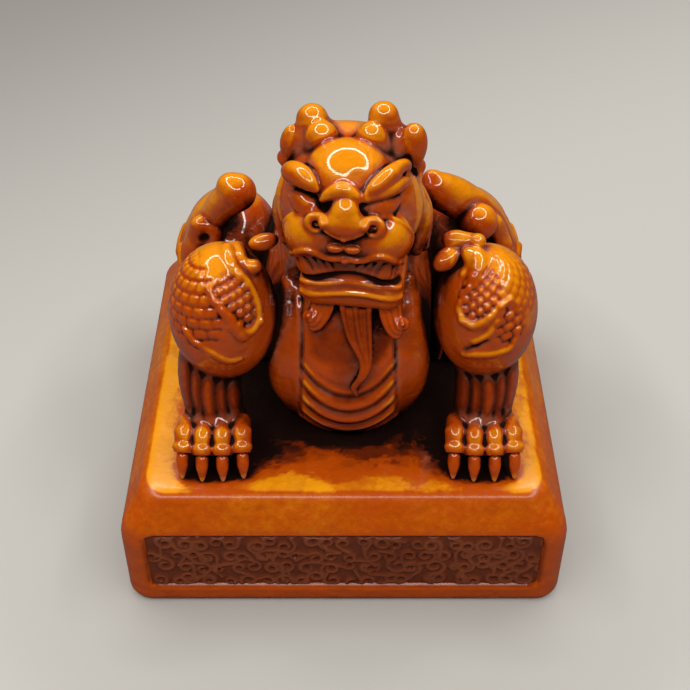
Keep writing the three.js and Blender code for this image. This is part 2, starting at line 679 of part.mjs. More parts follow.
for (const [name, sign] of Object.entries(SIDES)) {
  const shoulder = shoulderAt(sign);
  const foot = shoulder.clone().add(at(sign * FORELEG_OUT, -FORELEG_FORWARD, 0)).setZ(TOE_HEIGHT);
  carve(beast, "forepaw_" + name, paw(foot));
  const knee = shoulder.clone().lerp(foot, KNEE_SHARE).add(at(sign * KNEE_OUT, KNEE_BACK, 0));
  const legHalves = [FORELEG_TOP_RADIUS, FORELEG_TOP_RADIUS, FORELEG_FOOT_RADIUS];
  carve(beast, "foreleg_" + name, stem([shoulder, knee, foot], legHalves, ACROSS));

  const maneRoot = head.position.clone().add(at(sign * (SKULL_WIDTH / 2 - MANE_RADIUS), MANE_BACK, 0));
  const maneTip = head.position.clone().add(at(sign * MANE_SPREAD, MANE_BACK, -MANE_DROP));
  carve(beast, "mane_" + name, stem([maneRoot, maneTip], [MANE_RADIUS, MANE_TIP_RADIUS], ALONG));

  const scrollMiddle = seat(shoulder, shoulderHalf, sign * SCROLL_AZIMUTH, SCROLL_ELEVATION, SCROLL_LIFT);
  const scrollTurn = steps(SCROLL_TURN_FROM, SCROLL_TURN_TO, CURL_STATIONS).map((angle) => {
    const across = SCROLL_RING_RADIUS * Math.cos(radians(angle));
    const up = SCROLL_RING_RADIUS * Math.sin(radians(angle));
    return scrollMiddle.clone().add(at(sign * across, -SCROLL_LEAN * up, up));
  });
  carve(
    beast,
    "shoulder_scroll_" + name,
    together(
      stem(scrollTurn, scrollTurn.map(() => SCROLL_STEM_RADIUS), ALONG),
      ball(scrollMiddle, at(SCROLL_BALL_RADIUS, SCROLL_BALL_RADIUS, SCROLL_BALL_RADIUS)),
    ),
  );
}

// Flames and curls on the haunches, and hind paws
for (const [name, sign] of Object.entries(SIDES)) {
  const haunch = haunchAt(sign);
  const flameRoot = haunch.clone().add(at(sign * FLAME_ROOT_OUT, -FLAME_ROOT_FORWARD, 0));
  const flameTip = haunch.clone().add(at(-sign * FLAME_INWARD[name], -FLAME_FORWARD, FLAME_RISE));
  const flameBends = FLAME_BENDS.map((share) =>
    flameRoot.clone().lerp(flameTip, share).add(at(sign * FLAME_BULGE[name], 0, 0)),
  );
  const flameStations = [flameRoot, ...flameBends, flameTip];
  const flameHalves = [FLAME_STEM_RADIUS, FLAME_STEM_RADIUS, FLAME_STEM_RADIUS, FLAME_TIP_RADIUS];
  carve(beast, "haunch_flame_" + name, stem(flameStations, flameHalves, ALONG));
  const curl = seat(haunch, haunchHalf, sign * HAUNCH_CURL_AZIMUTH, HAUNCH_CURL_ELEVATION, 0);
  carve(
    beast,
    "haunch_curl_" + name,
    ball(curl, at(HAUNCH_CURL_RADIUS, HAUNCH_CURL_RADIUS, HAUNCH_CURL_RADIUS)),
  );
  const hindAnkle = haunch.clone().add(at(0, -HIND_PAW_FORWARD, 0)).setZ(TOE_HEIGHT);
  carve(beast, "hind_paw_" + name, paw(hindAnkle));
}

// Knobs down the spine from the nape to the rump, joined by a low ridge
const slope = Math.SQRT1_2;
const spineStations = [
  head.position.clone().add(at(-head.position.x, (SKULL_DEPTH / 2) * slope, (SKULL_HEIGHT / 2) * slope)),
  neckBase.clone().add(at(0, NECK_BASE_RADIUS * slope, NECK_BASE_RADIUS * slope)),
  rump.clone().add(at(0, 0, RUMP_RADIUS)),
  rump.clone().add(at(0, RUMP_RADIUS * slope, RUMP_RADIUS * slope)),
];
const spinePath = new THREE.CatmullRomCurve3(spineStations);
const knobs = [];
for (let i = 0; i < SPINE_KNOB_COUNT; i += 1) {
  const place = spinePath.getPointAt((i + 0.5) / SPINE_KNOB_COUNT).add(at(0, 0, SPINE_KNOB_RISE));
  knobs.push(ball(place, at(SPINE_KNOB_RADIUS, SPINE_KNOB_RADIUS, SPINE_KNOB_RADIUS)));
}
const ridge = stem(spineStations, spineStations.map(() => SPINE_RIDGE_RADIUS), ACROSS);
carve(beast, "spine_ridge", together(ridge, ...knobs));

// Tail lying up the rump
const rumpEnd = RUMP_BACK + RUMP_RADIUS;
const tailStations = [
  at(0, rumpEnd - TAIL_BACK, RUMP_HEIGHT - RUMP_RADIUS / 2),
  at(-TAIL_SWAY / 2, rumpEnd, RUMP_HEIGHT),
  at(TAIL_SWAY / 2, rumpEnd - TAIL_BACK, (RUMP_HEIGHT + TAIL_TIP_HEIGHT) / 2),
  at(TAIL_SWAY, RUMP_BACK + RUMP_RADIUS / 2, TAIL_TIP_HEIGHT),
];
const tailMiddleRadius = (TAIL_ROOT_RADIUS + TAIL_TIP_RADIUS) / 2;
const tailHalves = [TAIL_ROOT_RADIUS, TAIL_ROOT_RADIUS, tailMiddleRadius, TAIL_TIP_RADIUS];
carve(beast, "tail", stem(tailStations, tailHalves, ALONG));

export default part;
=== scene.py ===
"""Looks of a carved seal stone: a square plinth with relief friezes and a crouching horned beast.

The beast is sculpted as one field of signed distances in millimetres, skinned once, and parted into
one piece for each carved form of the frame, so that the pieces meet without a visible seam.
"""

import logging
import math
import random
from dataclasses import dataclass, field
from enum import Enum
from typing import Any, Callable, Iterable, Sequence, Union

import bpy
import numpy as np
from bpy.types import ID, Material, Mesh, Node, NodeSocket, Object
from mathutils import Euler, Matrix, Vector


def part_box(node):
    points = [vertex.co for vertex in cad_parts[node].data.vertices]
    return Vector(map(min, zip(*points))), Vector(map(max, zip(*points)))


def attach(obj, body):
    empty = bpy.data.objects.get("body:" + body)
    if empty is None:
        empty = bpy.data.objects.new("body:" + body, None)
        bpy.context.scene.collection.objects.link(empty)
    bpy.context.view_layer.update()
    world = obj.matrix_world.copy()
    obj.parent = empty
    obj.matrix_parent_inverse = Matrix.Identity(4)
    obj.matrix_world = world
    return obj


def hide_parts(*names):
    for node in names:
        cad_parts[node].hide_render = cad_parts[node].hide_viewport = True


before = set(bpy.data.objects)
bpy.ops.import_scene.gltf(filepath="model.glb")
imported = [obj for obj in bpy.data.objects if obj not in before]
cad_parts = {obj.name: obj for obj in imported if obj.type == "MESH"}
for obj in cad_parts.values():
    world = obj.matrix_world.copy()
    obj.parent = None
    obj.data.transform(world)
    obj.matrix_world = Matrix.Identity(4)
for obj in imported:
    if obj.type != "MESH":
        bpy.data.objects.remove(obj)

logging.basicConfig(level=logging.INFO, format="%(name)s: %(message)s")
LOG = logging.getLogger("seal_stone")

Point = tuple[float, float, float]
Line = tuple[Point, ...]
Span = tuple[float, float]
Outline = tuple[Span, ...]
Widths = tuple[float, ...]
Traced = tuple[tuple[float, float, float, float], ...]
Colour = tuple[float, float, float]
Array = np.ndarray
Places = Sequence[Array]
Height = Callable[[Places], Array]
Radii = Union[float, Sequence[float]]
Settings = dict[Union[str, int], Any]

MM = 0.001
FAR = 4.0
BODY = "root"


class Side(Enum):
    """Left or right as seen from the front."""

    LEFT = -1
    RIGHT = 1

    def node(self, stem: str) -> str:
        """Name of a frame node on this side."""
        return f"{stem}_{self.name.lower()}"


def spline(stations: Sequence[Sequence[float]], per_span: int = 6) -> Array:
    """Smooth curve through stations.

    Args:
        stations: Points to pass through, with any number of values each.
        per_span: Steps from one station to the next.

    Returns:
        The points of the curve, one a row.
    """
    knots = np.asarray(stations, float)
    if len(knots) < 3:
        share = np.linspace(0, 1, per_span + 1)[:, None]
        return knots[0] * (1 - share) + knots[-1] * share
    padded = np.vstack([2 * knots[0] - knots[1], knots, 2 * knots[-1] - knots[-2]])
    share = np.arange(per_span)[:, None] / per_span
    spans = []
    for a, b, c, d in zip(padded, padded[1:], padded[2:], padded[3:]):
        bend = 2 * a - 5 * b + 4 * c - d
        twist = 3 * b - a - 3 * c + d
        spans.append(b + 0.5 * share * (c - a + share * (bend + share * twist)))
    return np.vstack([*spans, knots[-1:]])


def smoothstep(low: float, high: float, value: Array) -> Array:
    """Eased rise from 0 at low to 1 at high."""
    share = np.clip((value - low) / (high - low), 0, 1)
    return share * share * (3 - 2 * share)


def spin(degrees: float) -> Array:
    """Matrix of a turn about Z."""
    cos, sin = math.cos(math.radians(degrees)), math.sin(math.radians(degrees))
    return np.array([[cos, -sin, 0], [sin, cos, 0], [0, 0, 1]])


def moved(place: Sequence[float], step: Sequence[float], times: float = 1) -> Point:
    """A point moved by a step, or by some steps."""
    return tuple(a + times * b for a, b in zip(place, step))


def parted(line: Traced) -> tuple[list[Point], list[float]]:
    """Points of a line, and the radius at each."""
    return [station[:3] for station in line], [station[3] for station in line]


class Form:
    """A shape that knows its signed distance."""

    def reach(self) -> tuple[Array, Array]:
        """Lowest and highest corner of the shape."""
        raise NotImplementedError

    def distance(self, at: Places) -> Array:
        """Signed distance at points, negative inside."""
        raise NotImplementedError


@dataclass(frozen=True)
class Blob(Form):
    """Ellipsoid.

    Args:
        centre: Middle of the ellipsoid.
        half: Half sizes along its own axes.
        turn: Turns about X, Y and Z in degrees.
    """

    centre: Point
    half: Point
    turn: Point = (0.0, 0.0, 0.0)

    def _axes(self) -> Array:
        """Rows are the ellipsoid's own axes."""
        return np.array(Euler([math.radians(a) for a in self.turn]).to_matrix()).T

    def seat(self, azimuth: float, elevation: float) -> Point:
        """Point of the skin, by azimuth from the front and elevation, where the ellipsoid isn't turned."""
        turn, rise = math.radians(azimuth), math.radians(elevation)
        away = (math.cos(rise) * math.sin(turn), -math.cos(rise) * math.cos(turn), math.sin(rise))
        return tuple(c + h * a for c, h, a in zip(self.centre, self.half, away))

    def reach(self) -> tuple[Array, Array]:
        """Lowest and highest corner of the ellipsoid."""
        extent = np.abs(self._axes().T) @ np.array(self.half)
        return np.array(self.centre) - extent, np.array(self.centre) + extent

    def distance(self, at: Places) -> Array:
        """Signed distance at points, close to exact near the skin.

        Args:
            at: X, Y and Z of the points.

        Returns:
            Millimetres to the skin.
        """
        dx, dy, dz = (v - c for v, c in zip(at, self.centre))
        near, far = 0.0, 0.0
        for axis, half in zip(self._axes(), self.half):
            along = (axis[0] * dx + axis[1] * dy + axis[2] * dz).astype(np.float32)
            near = near + np.square(along / half)
            far = far + np.square(along / (half * half))
        near, far = np.sqrt(near), np.sqrt(far)
        return near * (near - 1) / np.maximum(far, 1e-6)


@dataclass(frozen=True)
class Block(Form):
    """Box with rounded edges.

    Args:
        centre: Middle of the box.
        half: Half sizes, rounding included.
        rounding: Radius of the edges.
    """

    centre: Point
    half: Point
    rounding: float

    def reach(self) -> tuple[Array, Array]:
        """Lowest and highest corner of the box."""
        return np.array(self.centre) - self.half, np.array(self.centre) + self.half

    def distance(self, at: Places) -> Array:
        """Signed distance at points.

        Args:
            at: X, Y and Z of the points.

        Returns:
            Millimetres to the skin.
        """
        out = [
            np.abs(v - c).astype(np.float32) - (h - self.rounding)
            for v, c, h in zip(at, self.centre, self.half)
        ]
        outside = np.sqrt(sum(np.square(np.maximum(o, 0)) for o in out))
        inside = np.minimum(np.maximum(np.maximum(out[0], out[1]), out[2]), 0)
        return outside + inside - self.rounding


@dataclass(frozen=True)
class Stem(Form):
    """Round stem along a smooth curve.

    Args:
        stations: Points of the curve.
        radii: Radius at each station, or one for all.
        per_span: Straight steps between two stations.
    """

    stations: Sequence[Point]
    radii: Radii
    per_span: int = 5

    def _line(self) -> Array:
        """Curve points with their radius as a fourth value."""
        radii = np.broadcast_to(np.asarray(self.radii, float), (len(self.stations),))
        return spline(np.column_stack([np.asarray(self.stations, float), radii]), self.per_span)

    def reach(self) -> tuple[Array, Array]:
        """Lowest and highest corner of the stem."""
        line = self._line()
        return (line[:, :3] - line[:, 3:]).min(0), (line[:, :3] + line[:, 3:]).max(0)

    def distance(self, at: Places) -> Array:
        """Signed distance at points.

        Args:
            at: X, Y and Z of the points.

        Returns:
            Millimetres to the skin.
        """
        line = self._line()
        least = None
        for a, b in zip(line, line[1:]):
            run = b - a
            length = max(float(run[:3] @ run[:3]), 1e-9)
            dx, dy, dz = (v - c for v, c in zip(at, a))
            share = np.clip((dx * run[0] + dy * run[1] + dz * run[2]) / length, 0, 1).astype(np.float32)
            gap = np.square(dx - share * run[0]) + np.square(dy - share * run[1])
            gap = np.sqrt(gap + np.square(dz - share * run[2])) - (a[3] + share * run[3])
            least = gap if least is None else np.minimum(least, gap)
        return least.astype(np.float32)


@dataclass(frozen=True)
class Band(Form):
    """Front strip of an ellipsoid between two sides.

    Args:
        blob: The ellipsoid.
        half_width: Half width of the strip.
        back: The strip ends behind this.
    """

    blob: Blob
    half_width: float
    back: float

    def reach(self) -> tuple[Array, Array]:
        """Lowest and highest corner of the strip."""
        low, high = self.blob.reach()
        wide = self.half_width
        return np.array([-wide, low[1], low[2]]), np.array([wide, self.back, high[2]])

    def distance(self, at: Places) -> Array:
        """Signed distance at points."""
        sides = np.maximum(self.blob.distance(at), np.abs(at[0]) - self.half_width)
        return np.maximum(sides, at[1] - self.back)


@dataclass
class Volume:
    """Signed distances on a regular grid, with the carved form that each place belongs to.

    Args:
        low: Lowest corner.
        high: Highest corner.
        step: Distance between neighbours.
    """

    low: Array
    high: Array
    step: float
    names: list[str] = field(default_factory=list)

    LIFT = 0.5

    def __post_init__(self) -> None:
        """Makes the empty grid."""
        shape = tuple(np.ceil((self.high - self.low) / self.step).astype(int) + 1)
        self.value = np.full(shape, FAR, np.float32)
        self.nearest = np.full(shape, FAR, np.float32)
        self.owner = np.zeros(shape, np.uint8)
        # Staining and painted shade, read into the stone's colour.
        self.stain = np.zeros(shape, np.float16)
        self.axes = [low + self.step * np.arange(n) for low, n in zip(self.low, shape)]

    def window(self, low: Array, high: Array) -> tuple[slice, slice, slice]:
        """Slices of the grid that hold a box."""
        first = np.floor((low - self.low) / self.step).astype(int)
        last = np.ceil((high - self.low) / self.step).astype(int) + 1
        return tuple(slice(max(a, 0), max(b, 0)) for a, b in zip(first, last))

    def index(self, name: str) -> int:
        """Number of a carved form."""
        if name not in self.names:
            self.names.append(name)
        return self.names.index(name)

    def sample(self, grid: Array, points: Array, stride: int = 1) -> Array:
        """Values between the grid's places.

        Args:
            grid: Values on this grid or on every stride-th place of it.
            points: Where to read, one a row.
            stride: Grid places from one value to the next.

        Returns:
            One value for each point.
        """
        place = (points - self.low) / (self.step * stride)
        place = np.clip(place, 0, np.array(grid.shape) - 1.001)
        first = place.astype(np.int32)
        share = (place - first).astype(np.float32)
        total = np.zeros(len(points), np.float32)
        for corner in np.ndindex(2, 2, 2):
            weight = np.prod(np.where(corner, share, 1 - share), axis=1)
            i, j, k = (first + np.array(corner)).T
            total += weight * grid[i, j, k]
        return total

    def slope(self, points: Array) -> Array:
        """Rise of the distance along each axis at points.

        Args:
            points: Where to read, one a row.

        Returns:
            Three rises for each point.
        """
        near = 0.75 * self.step
        rises = []
        for axis in np.eye(3):
            ahead = self.sample(self.value, points + near * axis)
            behind = self.sample(self.value, points - near * axis)
            rises.append((ahead - behind) / (2 * near))
        return np.stack(rises, axis=1)

    def settle(self, points: Array, lift: float, rounds: int = 8) -> Array:
        """Moves points onto the skin.

        Args:
            points: Points near the skin, one a row.
            lift: Height above the skin.
            rounds: How often to move them.

        Returns:
            The moved points.
        """
        for _ in range(rounds):
            slope = self.slope(points)
            size = np.maximum(np.linalg.norm(slope, axis=1, keepdims=True), 0.2)
            off = self.sample(self.value, points)[:, None] - lift
            points = points - 0.7 * np.clip(off, -1, 1) * slope / size
        return points

    def soften(self) -> None:
        """Rounds the finest edges."""
        for axis in range(3):
            line = np.moveaxis(self.value, axis, 0)
            middle = 0.5 * line[1:-1] + 0.25 * (line[:-2] + line[2:])
            line[1:-1] = middle

    def fullness(self, reach: float, stride: int = 2) -> Array:
        """Share of stone round each place.

        Args:
            reach: How far round, in millimetres.
            stride: Grid places from one value to the next.

        Returns:
            Shares on every stride-th place: half on a flat, more in a hollow, less on a ridge.
        """
        coarse = self.value[::stride, ::stride, ::stride]
        solid = np.clip(0.5 - coarse / (self.step * stride), 0, 1).astype(np.float32)
        solid[:, :, self.axes[2][::stride] < 0] = 1
        radius = max(1, round(reach / (self.step * stride * 2)))
        for axis in (0, 1, 2) * 2:
            pad = [(radius + 1, radius) if a == axis else (0, 0) for a in range(3)]
            total = np.cumsum(np.pad(solid, pad, mode="edge"), axis=axis)
            line = np.moveaxis(total, axis, 0)
            width = 2 * radius + 1
            solid = np.moveaxis((line[width:] - line[:-width]) / width, 0, axis)
        return solid

    def openness(
        self, points: Array, normals: Array, rays: int = 36, reach: float = 28.0
    ) -> tuple[Array, Array]:
        """How much of the light from above reaches points.

        Args:
            points: Points of the skin, one a row.
            normals: Their normals.
            rays: Directions to look in, spread over the upper half of the room.
            reach: How far to look, in millimetres.

        Returns:
            For each point, its light as a share of an open top's, and the share of its own that other
            stone takes.
        """
        stride = 2
        solid = (self.value[::stride, ::stride, ::stride] < 0).ravel()
        shape = np.array(self.value[::stride, ::stride, ::stride].shape)
        start = ((points + self.LIFT * normals - self.low) / (self.step * stride)).astype(np.float32)
        total, free, most = np.zeros(len(points), np.float32), np.full(len(points), 1e-3, np.float32), 0.0
        for i in range(rays):
            rise = 1 - (i + 0.5) / rays
            flat, turn = math.sqrt(1 - rise * rise), i * math.pi * (3 - math.sqrt(5))
            ray = np.array([flat * math.cos(turn), flat * math.sin(turn), rise], np.float32)
            facing = normals @ ray
            seen = np.nonzero(facing > 0)[0]
            clear = np.ones(len(seen), bool)
            for away in np.geomspace(0.6, reach, 12):
                spot = start[seen] + ray * (away / (self.step * stride))
                i_x, i_y, i_z = np.clip(spot, 0, shape - 1).astype(np.int32).T
                clear &= ~solid[(i_x * shape[1] + i_y) * shape[2] + i_z]
            total[seen] += facing[seen] * clear
            free[seen] += facing[seen]
            most += rise
        return total / most, 1 - total / free


@dataclass(frozen=True)
class Chisel:
    """Carves a volume in a frame of its own.

    Args:
        volume: What is carved.
        origin: The frame's origin.
        turn: The frame's turn about Z in degrees.
        side: -1 mirrors the frame across its X axis.
    """

    volume: Volume
    origin: Point = (0.0, 0.0, 0.0)
    turn: float = 0.0
    side: int = 1

    def shifted(self, aside: float) -> "Chisel":
        """Chisel moved to the right in its own frame."""
        angle = math.radians(self.turn)
        step = (aside * math.cos(angle), aside * math.sin(angle), 0)
        return Chisel(self.volume, moved(self.origin, step), self.turn)

    def mirrored(self, side: Side) -> "Chisel":
        """Chisel with X outward on one side."""
        return Chisel(self.volume, self.origin, self.turn, side.value)

    def _place(self, form: Form, margin: float) -> tuple[tuple[slice, slice, slice], list[Array]]:
        """Window round a form and the frame's coordinates in it.

        Args:
            form: The form.
            margin: How far round it to look.

        Returns:
            The slices of the window, and X, Y and Z in it.
        """
        low, high = (np.asarray(end, float) for end in form.reach())
        low, high = low - margin, high + margin
        cos, sin = math.cos(math.radians(self.turn)), math.sin(math.radians(self.turn))
        corners = []
        for pick in np.ndindex(2, 2, 2):
            x, y, z = np.where(pick, high, low)
            x *= self.side
            corners.append([cos * x - sin * y, sin * x + cos * y, z])
        corners = np.array(corners) + self.origin
        window = self.volume.window(corners.min(0), corners.max(0))
        x, y, z = np.ix_(*(axis[w] for axis, w in zip(self.volume.axes, window)))
        dx, dy = x - self.origin[0], y - self.origin[1]
        local = [self.side * (cos * dx + sin * dy), cos * dy - sin * dx, z - self.origin[2]]
        return window, [v.astype(np.float32) for v in local]

    def join(self, name: str, form: Form, blend: float = 0.5, keep: bool = False) -> None:
        """Adds stone.

        Args:
            name: The carved form that the stone belongs to.
            form: Shape of the stone.
            blend: How softly it runs into the stone round it.
            keep: Whether the place keeps the form that it belongs to.
        """
        window, local = self._place(form, blend + 1)
        gap = form.distance(local)
        value = self.volume.value[window]
        ease = np.maximum(blend - np.abs(value - gap), 0) / blend
        value[...] = np.minimum(value, gap) - ease * ease * blend / 4
        if not keep:
            nearest, owner = self.volume.nearest[window], self.volume.owner[window]
            mine = gap < nearest
            owner[mine] = self.volume.index(name)
            np.minimum(nearest, gap, out=nearest)

    def cut(self, form: Form, blend: float = 0.4) -> None:
        """Takes stone away, with an edge as soft as the blend.

        Args:
            form: Shape of what goes.
            blend: How soft its edge is.
        """
        window, local = self._place(form, blend + 1)
        gap = -form.distance(local)
        value = self.volume.value[window]
        ease = np.maximum(blend - np.abs(value - gap), 0) / blend
        value[...] = np.maximum(value, gap) + ease * ease * blend / 4

    def emboss(self, region: Form, height: Height) -> None:
        """Raises the skin.

        Args:
            region: Where to look.
            height: Height to add at points, in millimetres.
        """
        window, local = self._place(region, 1)
        value = self.volume.value[window]
        rise = np.broadcast_to(height(np.broadcast_arrays(*local)), value.shape)
        value -= rise * (np.abs(value) < FAR)

    def tint(self, form: Form, amount: float, soft: float = 1.0) -> None:
        """Darkens the skin in and near a form, for staining and for painted shade.

        Args:
            form: Where the darkening falls.
            amount: Its strength.
            soft: Width of its fade.
        """
        window, local = self._place(form, soft)
        share = amount * smoothstep(soft, -soft, form.distance(local))
        stain = self.volume.stain[window]
        np.maximum(stain, share.astype(np.float16), out=stain, where=share > 0.01)

    def rub(self, form: Form, amount: float, soft: float = 1.0) -> None:
        """Takes staining and painted shade off the skin in and near a form; what falls below none shows as a
        pale dusting and painted sheen.
        """
        window, local = self._place(form, soft)
        share = amount * smoothstep(soft, -soft, form.distance(local))
        self.volume.stain[window] -= share.astype(np.float16)

    def wash(self, region: Form, amount: Height) -> None:
        """Adds staining and painted shade by an amount at points."""
        window, local = self._place(region, 1)
        self.volume.stain[window] += amount(np.broadcast_arrays(*local)).astype(np.float16)

    def drape(self, stations: Sequence[Point], lift: float = 0.0, per_span: int = 4) -> Array:
        """Smooth line laid on the skin.

        Args:
            stations: Points near the skin.
            lift: Height of the line above the skin.
            per_span: Steps from one station to the next.

        Returns:
            The points of the line.
        """
        line = spline(stations, per_span) * (self.side, 1, 1)
        turned = spin(self.turn)
        laid = self.volume.settle(line @ turned.T + self.origin, lift)
        return (laid - self.origin) @ turned * (self.side, 1, 1)

    def ridge(
        self,
        name: str,
        stations: Sequence[Point],
        radii: Radii,
        blend: float = 0.4,
        lift: float = 0.0,
        keep: bool = True,
    ) -> None:
        """Adds a rounded ridge that follows the skin.

        Args:
            name: The carved form that it belongs to.
            stations: Points near the skin.
            radii: Radius at each station, or one for all.
            blend: How softly it runs into the stone round it.
            lift: Height of its middle above the skin.
            keep: Whether the places keep the form that they belong to.
        """
        self.join(name, self._laid(stations, radii, lift), blend, keep)

    def groove(self, stations: Sequence[Point], radii: Radii, blend: float = 0.3, lift: float = 0.0) -> None:
        """Cuts a rounded groove that follows the skin.

        Args:
            stations: Points near the skin.
            radii: Radius at each station, or one for all.
            blend: How soft its edges are.
            lift: Height of its middle above the skin.
        """
        self.cut(self._laid(stations, radii, lift), blend)

    def _laid(self, stations: Sequence[Point], radii: Radii, lift: float) -> Stem:
        """Stem along a line laid on the skin.

        Args:
            stations: Points near the skin.
            radii: Radius at each station, or one for all.
            lift: Height of the line above the skin.

        Returns:
            The stem.
        """
        line = self.drape(stations, lift)
        places = np.linspace(0, len(stations) - 1, len(line))
        widths = np.broadcast_to(np.asarray(radii, float), (len(stations),))
        return Stem(line, np.interp(places, np.arange(len(stations)), widths), 1)


@dataclass
class Skin:
    """Skin of a volume, parted by carved form.

    Args:
        volume: The carved volume.
        origin: Where the volume's own origin lies in the frame, in millimetres.
    """

    volume: Volume
    origin: Array

    CAP_DEPTH = 0.5
    FINE_REACH = 0.8
    MIDDLE_REACH = 2.6

    def __post_init__(self) -> None:
        """Skins the volume once."""
        inside = self.volume.value < 0
        self._points(inside)
        self._faces(inside)
        self._settle()
        self.hollows = {
            "crease": self.volume.fullness(self.FINE_REACH),
            "hollow": self.volume.fullness(self.MIDDLE_REACH),
        }
        self.shades = {name: self.hollow(name, self.points) for name in self.hollows}
        self.shades["stain"] = self.volume.sample(self.volume.stain, self.points)
        # open and shut become painted shade in the colour: darker where less light from above reaches, and
        # where other stone blocks it.
        self.shades["open"], self.shades["shut"] = self.volume.openness(self.points, self.normals)

    def hollow(self, name: str, points: Array) -> Array:
        """Share of stone round points of the volume."""
        return self.volume.sample(self.hollows[name], points, 2)

    def _points(self, inside: Array) -> None:
        """One point in each cell that the skin crosses.

        Args:
            inside: Whether each grid place is stone.
        """
        count = sum(
            inside[i : i - 1 or None, j : j - 1 or None, k : k - 1 or None].astype(np.uint8)
            for i, j, k in np.ndindex(2, 2, 2)
        )
        active = (count > 0) & (count < 8)
        cells = np.argwhere(active)
        self.number = np.full(active.shape, -1, np.int32)
        self.number[active] = np.arange(len(cells))
        corners = {c: self.volume.value[tuple((cells + c).T)] for c in np.ndindex(2, 2, 2)}
        total = np.zeros(cells.shape)
        crossings = np.zeros(len(cells))
        for start in corners:
            for axis in range(3):
                if start[axis]:
                    continue
                end = tuple(1 if a == axis else start[a] for a in range(3))
                a, b = corners[start], corners[end]
                crossed = (a < 0) != (b < 0)
                share = np.where(crossed, a / np.where(crossed, a - b, 1), 0)
                place = np.array(start) + share[:, None] * np.eye(3)[axis]
                total += place * crossed[:, None]
                crossings += crossed
        self.points = self.volume.low + self.volume.step * (cells + total / crossings[:, None])

    def _faces(self, inside: Array) -> None:
        """One quad across each grid edge that the skin crosses.

        Args:
            inside: Whether each grid place is stone.
        """
        faces = []
        for axis in range(3):
            line = np.moveaxis(inside, axis, 0)
            crossed = np.moveaxis(line[1:] != line[:-1], 0, axis)
            edges = np.argwhere(crossed)
            across, up = np.eye(3, dtype=int)[(axis + 1) % 3], np.eye(3, dtype=int)[(axis + 2) % 3]
            clear = (edges @ across > 0) & (edges @ up > 0)
            limit = np.array(self.number.shape)
            clear &= np.all(edges < limit, axis=1)
            edges = edges[clear]
            quad = [edges - across - up, edges - up, edges, edges - across]
            quad = np.stack([self.number[tuple(cell.T)] for cell in quad], axis=1)
            outward = inside[tuple(edges.T)]
            faces.append(np.where(outward[:, None], quad, quad[:, ::-1]))
        self.faces = np.vstack(faces)
        middle = self.points[self.faces].mean(axis=1)
        nearest = np.round((middle - self.volume.low) / self.volume.step).astype(int)
        self.owners = self.volume.owner[tuple(nearest.T)]

    def _settle(self) -> None:
        """Moves the points onto the skin and reads the skin's normals."""
        near = 0.75 * self.volume.step
        for _ in range(2):
            slope = self.volume.slope(self.points)
            size = np.maximum(np.linalg.norm(slope, axis=1, keepdims=True), 0.2)
            off = self.volume.sample(self.volume.value, self.points)[:, None]
            move = np.clip(off / size, -near, near)
            self.points = self.points - 0.7 * move * slope / size
        self.normals = slope / size

    def piece(self, name: str) -> Object:
        """Closed mesh of one carved form.

        Args:
            name: The carved form, which is also its frame node.

        Returns:
            The new object, with the shades of the stone as attributes.
        """
        faces = self.faces[self.owners == self.volume.names.index(name)]
        used, local = np.unique(faces, return_inverse=True)
        faces = local.reshape(faces.shape)
        points, normals = self.points[used], self.normals[used]
        rim = rim_edges(faces)
        ends, ring = np.unique(rim, return_inverse=True)
        ring = ring.reshape(rim.shape)
        inner = points[ends] - self.CAP_DEPTH * normals[ends]
        loops = loop_numbers(ring, len(ends))
        hubs = np.array([inner[loops == n].mean(axis=0) for n in range(loops.max() + 1)])
        first_inner, first_hub = len(points), len(points) + len(ends)
        walls = np.column_stack([rim[:, ::-1], ring + first_inner])
        caps = np.column_stack([ring[:, ::-1] + first_inner, loops[ring[:, 0]] + first_hub])
        spots = np.vstack([points, inner, hubs]) + self.origin
        mesh = smooth_mesh(name + "_carving", spots, [*faces.tolist(), *walls.tolist(), *caps.tolist()])
        shaded = np.zeros((len(mesh.loops), 3))
        shaded[: faces.size] = normals[faces.ravel()]
        mesh.normals_split_custom_set(shaded.tolist())
        rows = np.concatenate([used, used[ends]])
        bare = np.zeros(len(hubs))
        write_shades(mesh, {shade: np.append(values[rows], bare) for shade, values in self.shades.items()})
        return stand_in(mesh, name)


def rim_edges(faces: Array) -> Array:
    """Edges of quads that have no neighbour, in the quads' own direction.

    Args:
        faces: Corner numbers of the quads, one quad a row.

    Returns:
        Pairs of point numbers.
    """
    edges = np.vstack([faces[:, [i, (i + 1) % 4]] for i in range(4)]).astype(np.int64)
    width = int(faces.max()) + 1
    ahead = edges[:, 0] * width + edges[:, 1]
    behind = edges[:, 1] * width + edges[:, 0]
    return edges[~np.isin(ahead, behind)]


def loop_numbers(edges: Array, count: int) -> Array:
    """Number of the loop that each point of some edges is on.

    Args:
        edges: Pairs of points.
        count: How many points there are.

    Returns:
        Loop numbers from 0 up, one for each point.
    """
    label = np.arange(count)
    while True:
        low = np.minimum(label[edges[:, 0]], label[edges[:, 1]])
        fresh = label.copy()
        np.minimum.at(fresh, edges[:, 0], low)
        np.minimum.at(fresh, edges[:, 1], low)
        fresh = fresh[fresh]
        if np.array_equal(fresh, label):
            return np.unique(label, return_inverse=True)[1]
        label = fresh


def smooth_mesh(name: str, spots: Array, polygons: list) -> Mesh:
    """Smooth-shaded mesh.

    Args:
        name: Its name.
        spots: Its points in millimetres, one a row.
        polygons: Point numbers of each face.

    Returns:
        The new mesh.
    """
    mesh = bpy.data.meshes.new(name)
    mesh.from_pydata((spots * MM).tolist(), [], polygons)
    mesh.polygons.foreach_set("use_smooth", np.ones(len(polygons), bool))
    return mesh


def write_shades(mesh: Mesh, shades: dict[str, Array]) -> None:
    """Keeps the shades of the stone as attributes of a mesh, one value a point."""
    for name, values in shades.items():
        layer = mesh.attributes.new(name, "FLOAT", "POINT")
        layer.data.foreach_set("value", values.astype(np.float32))


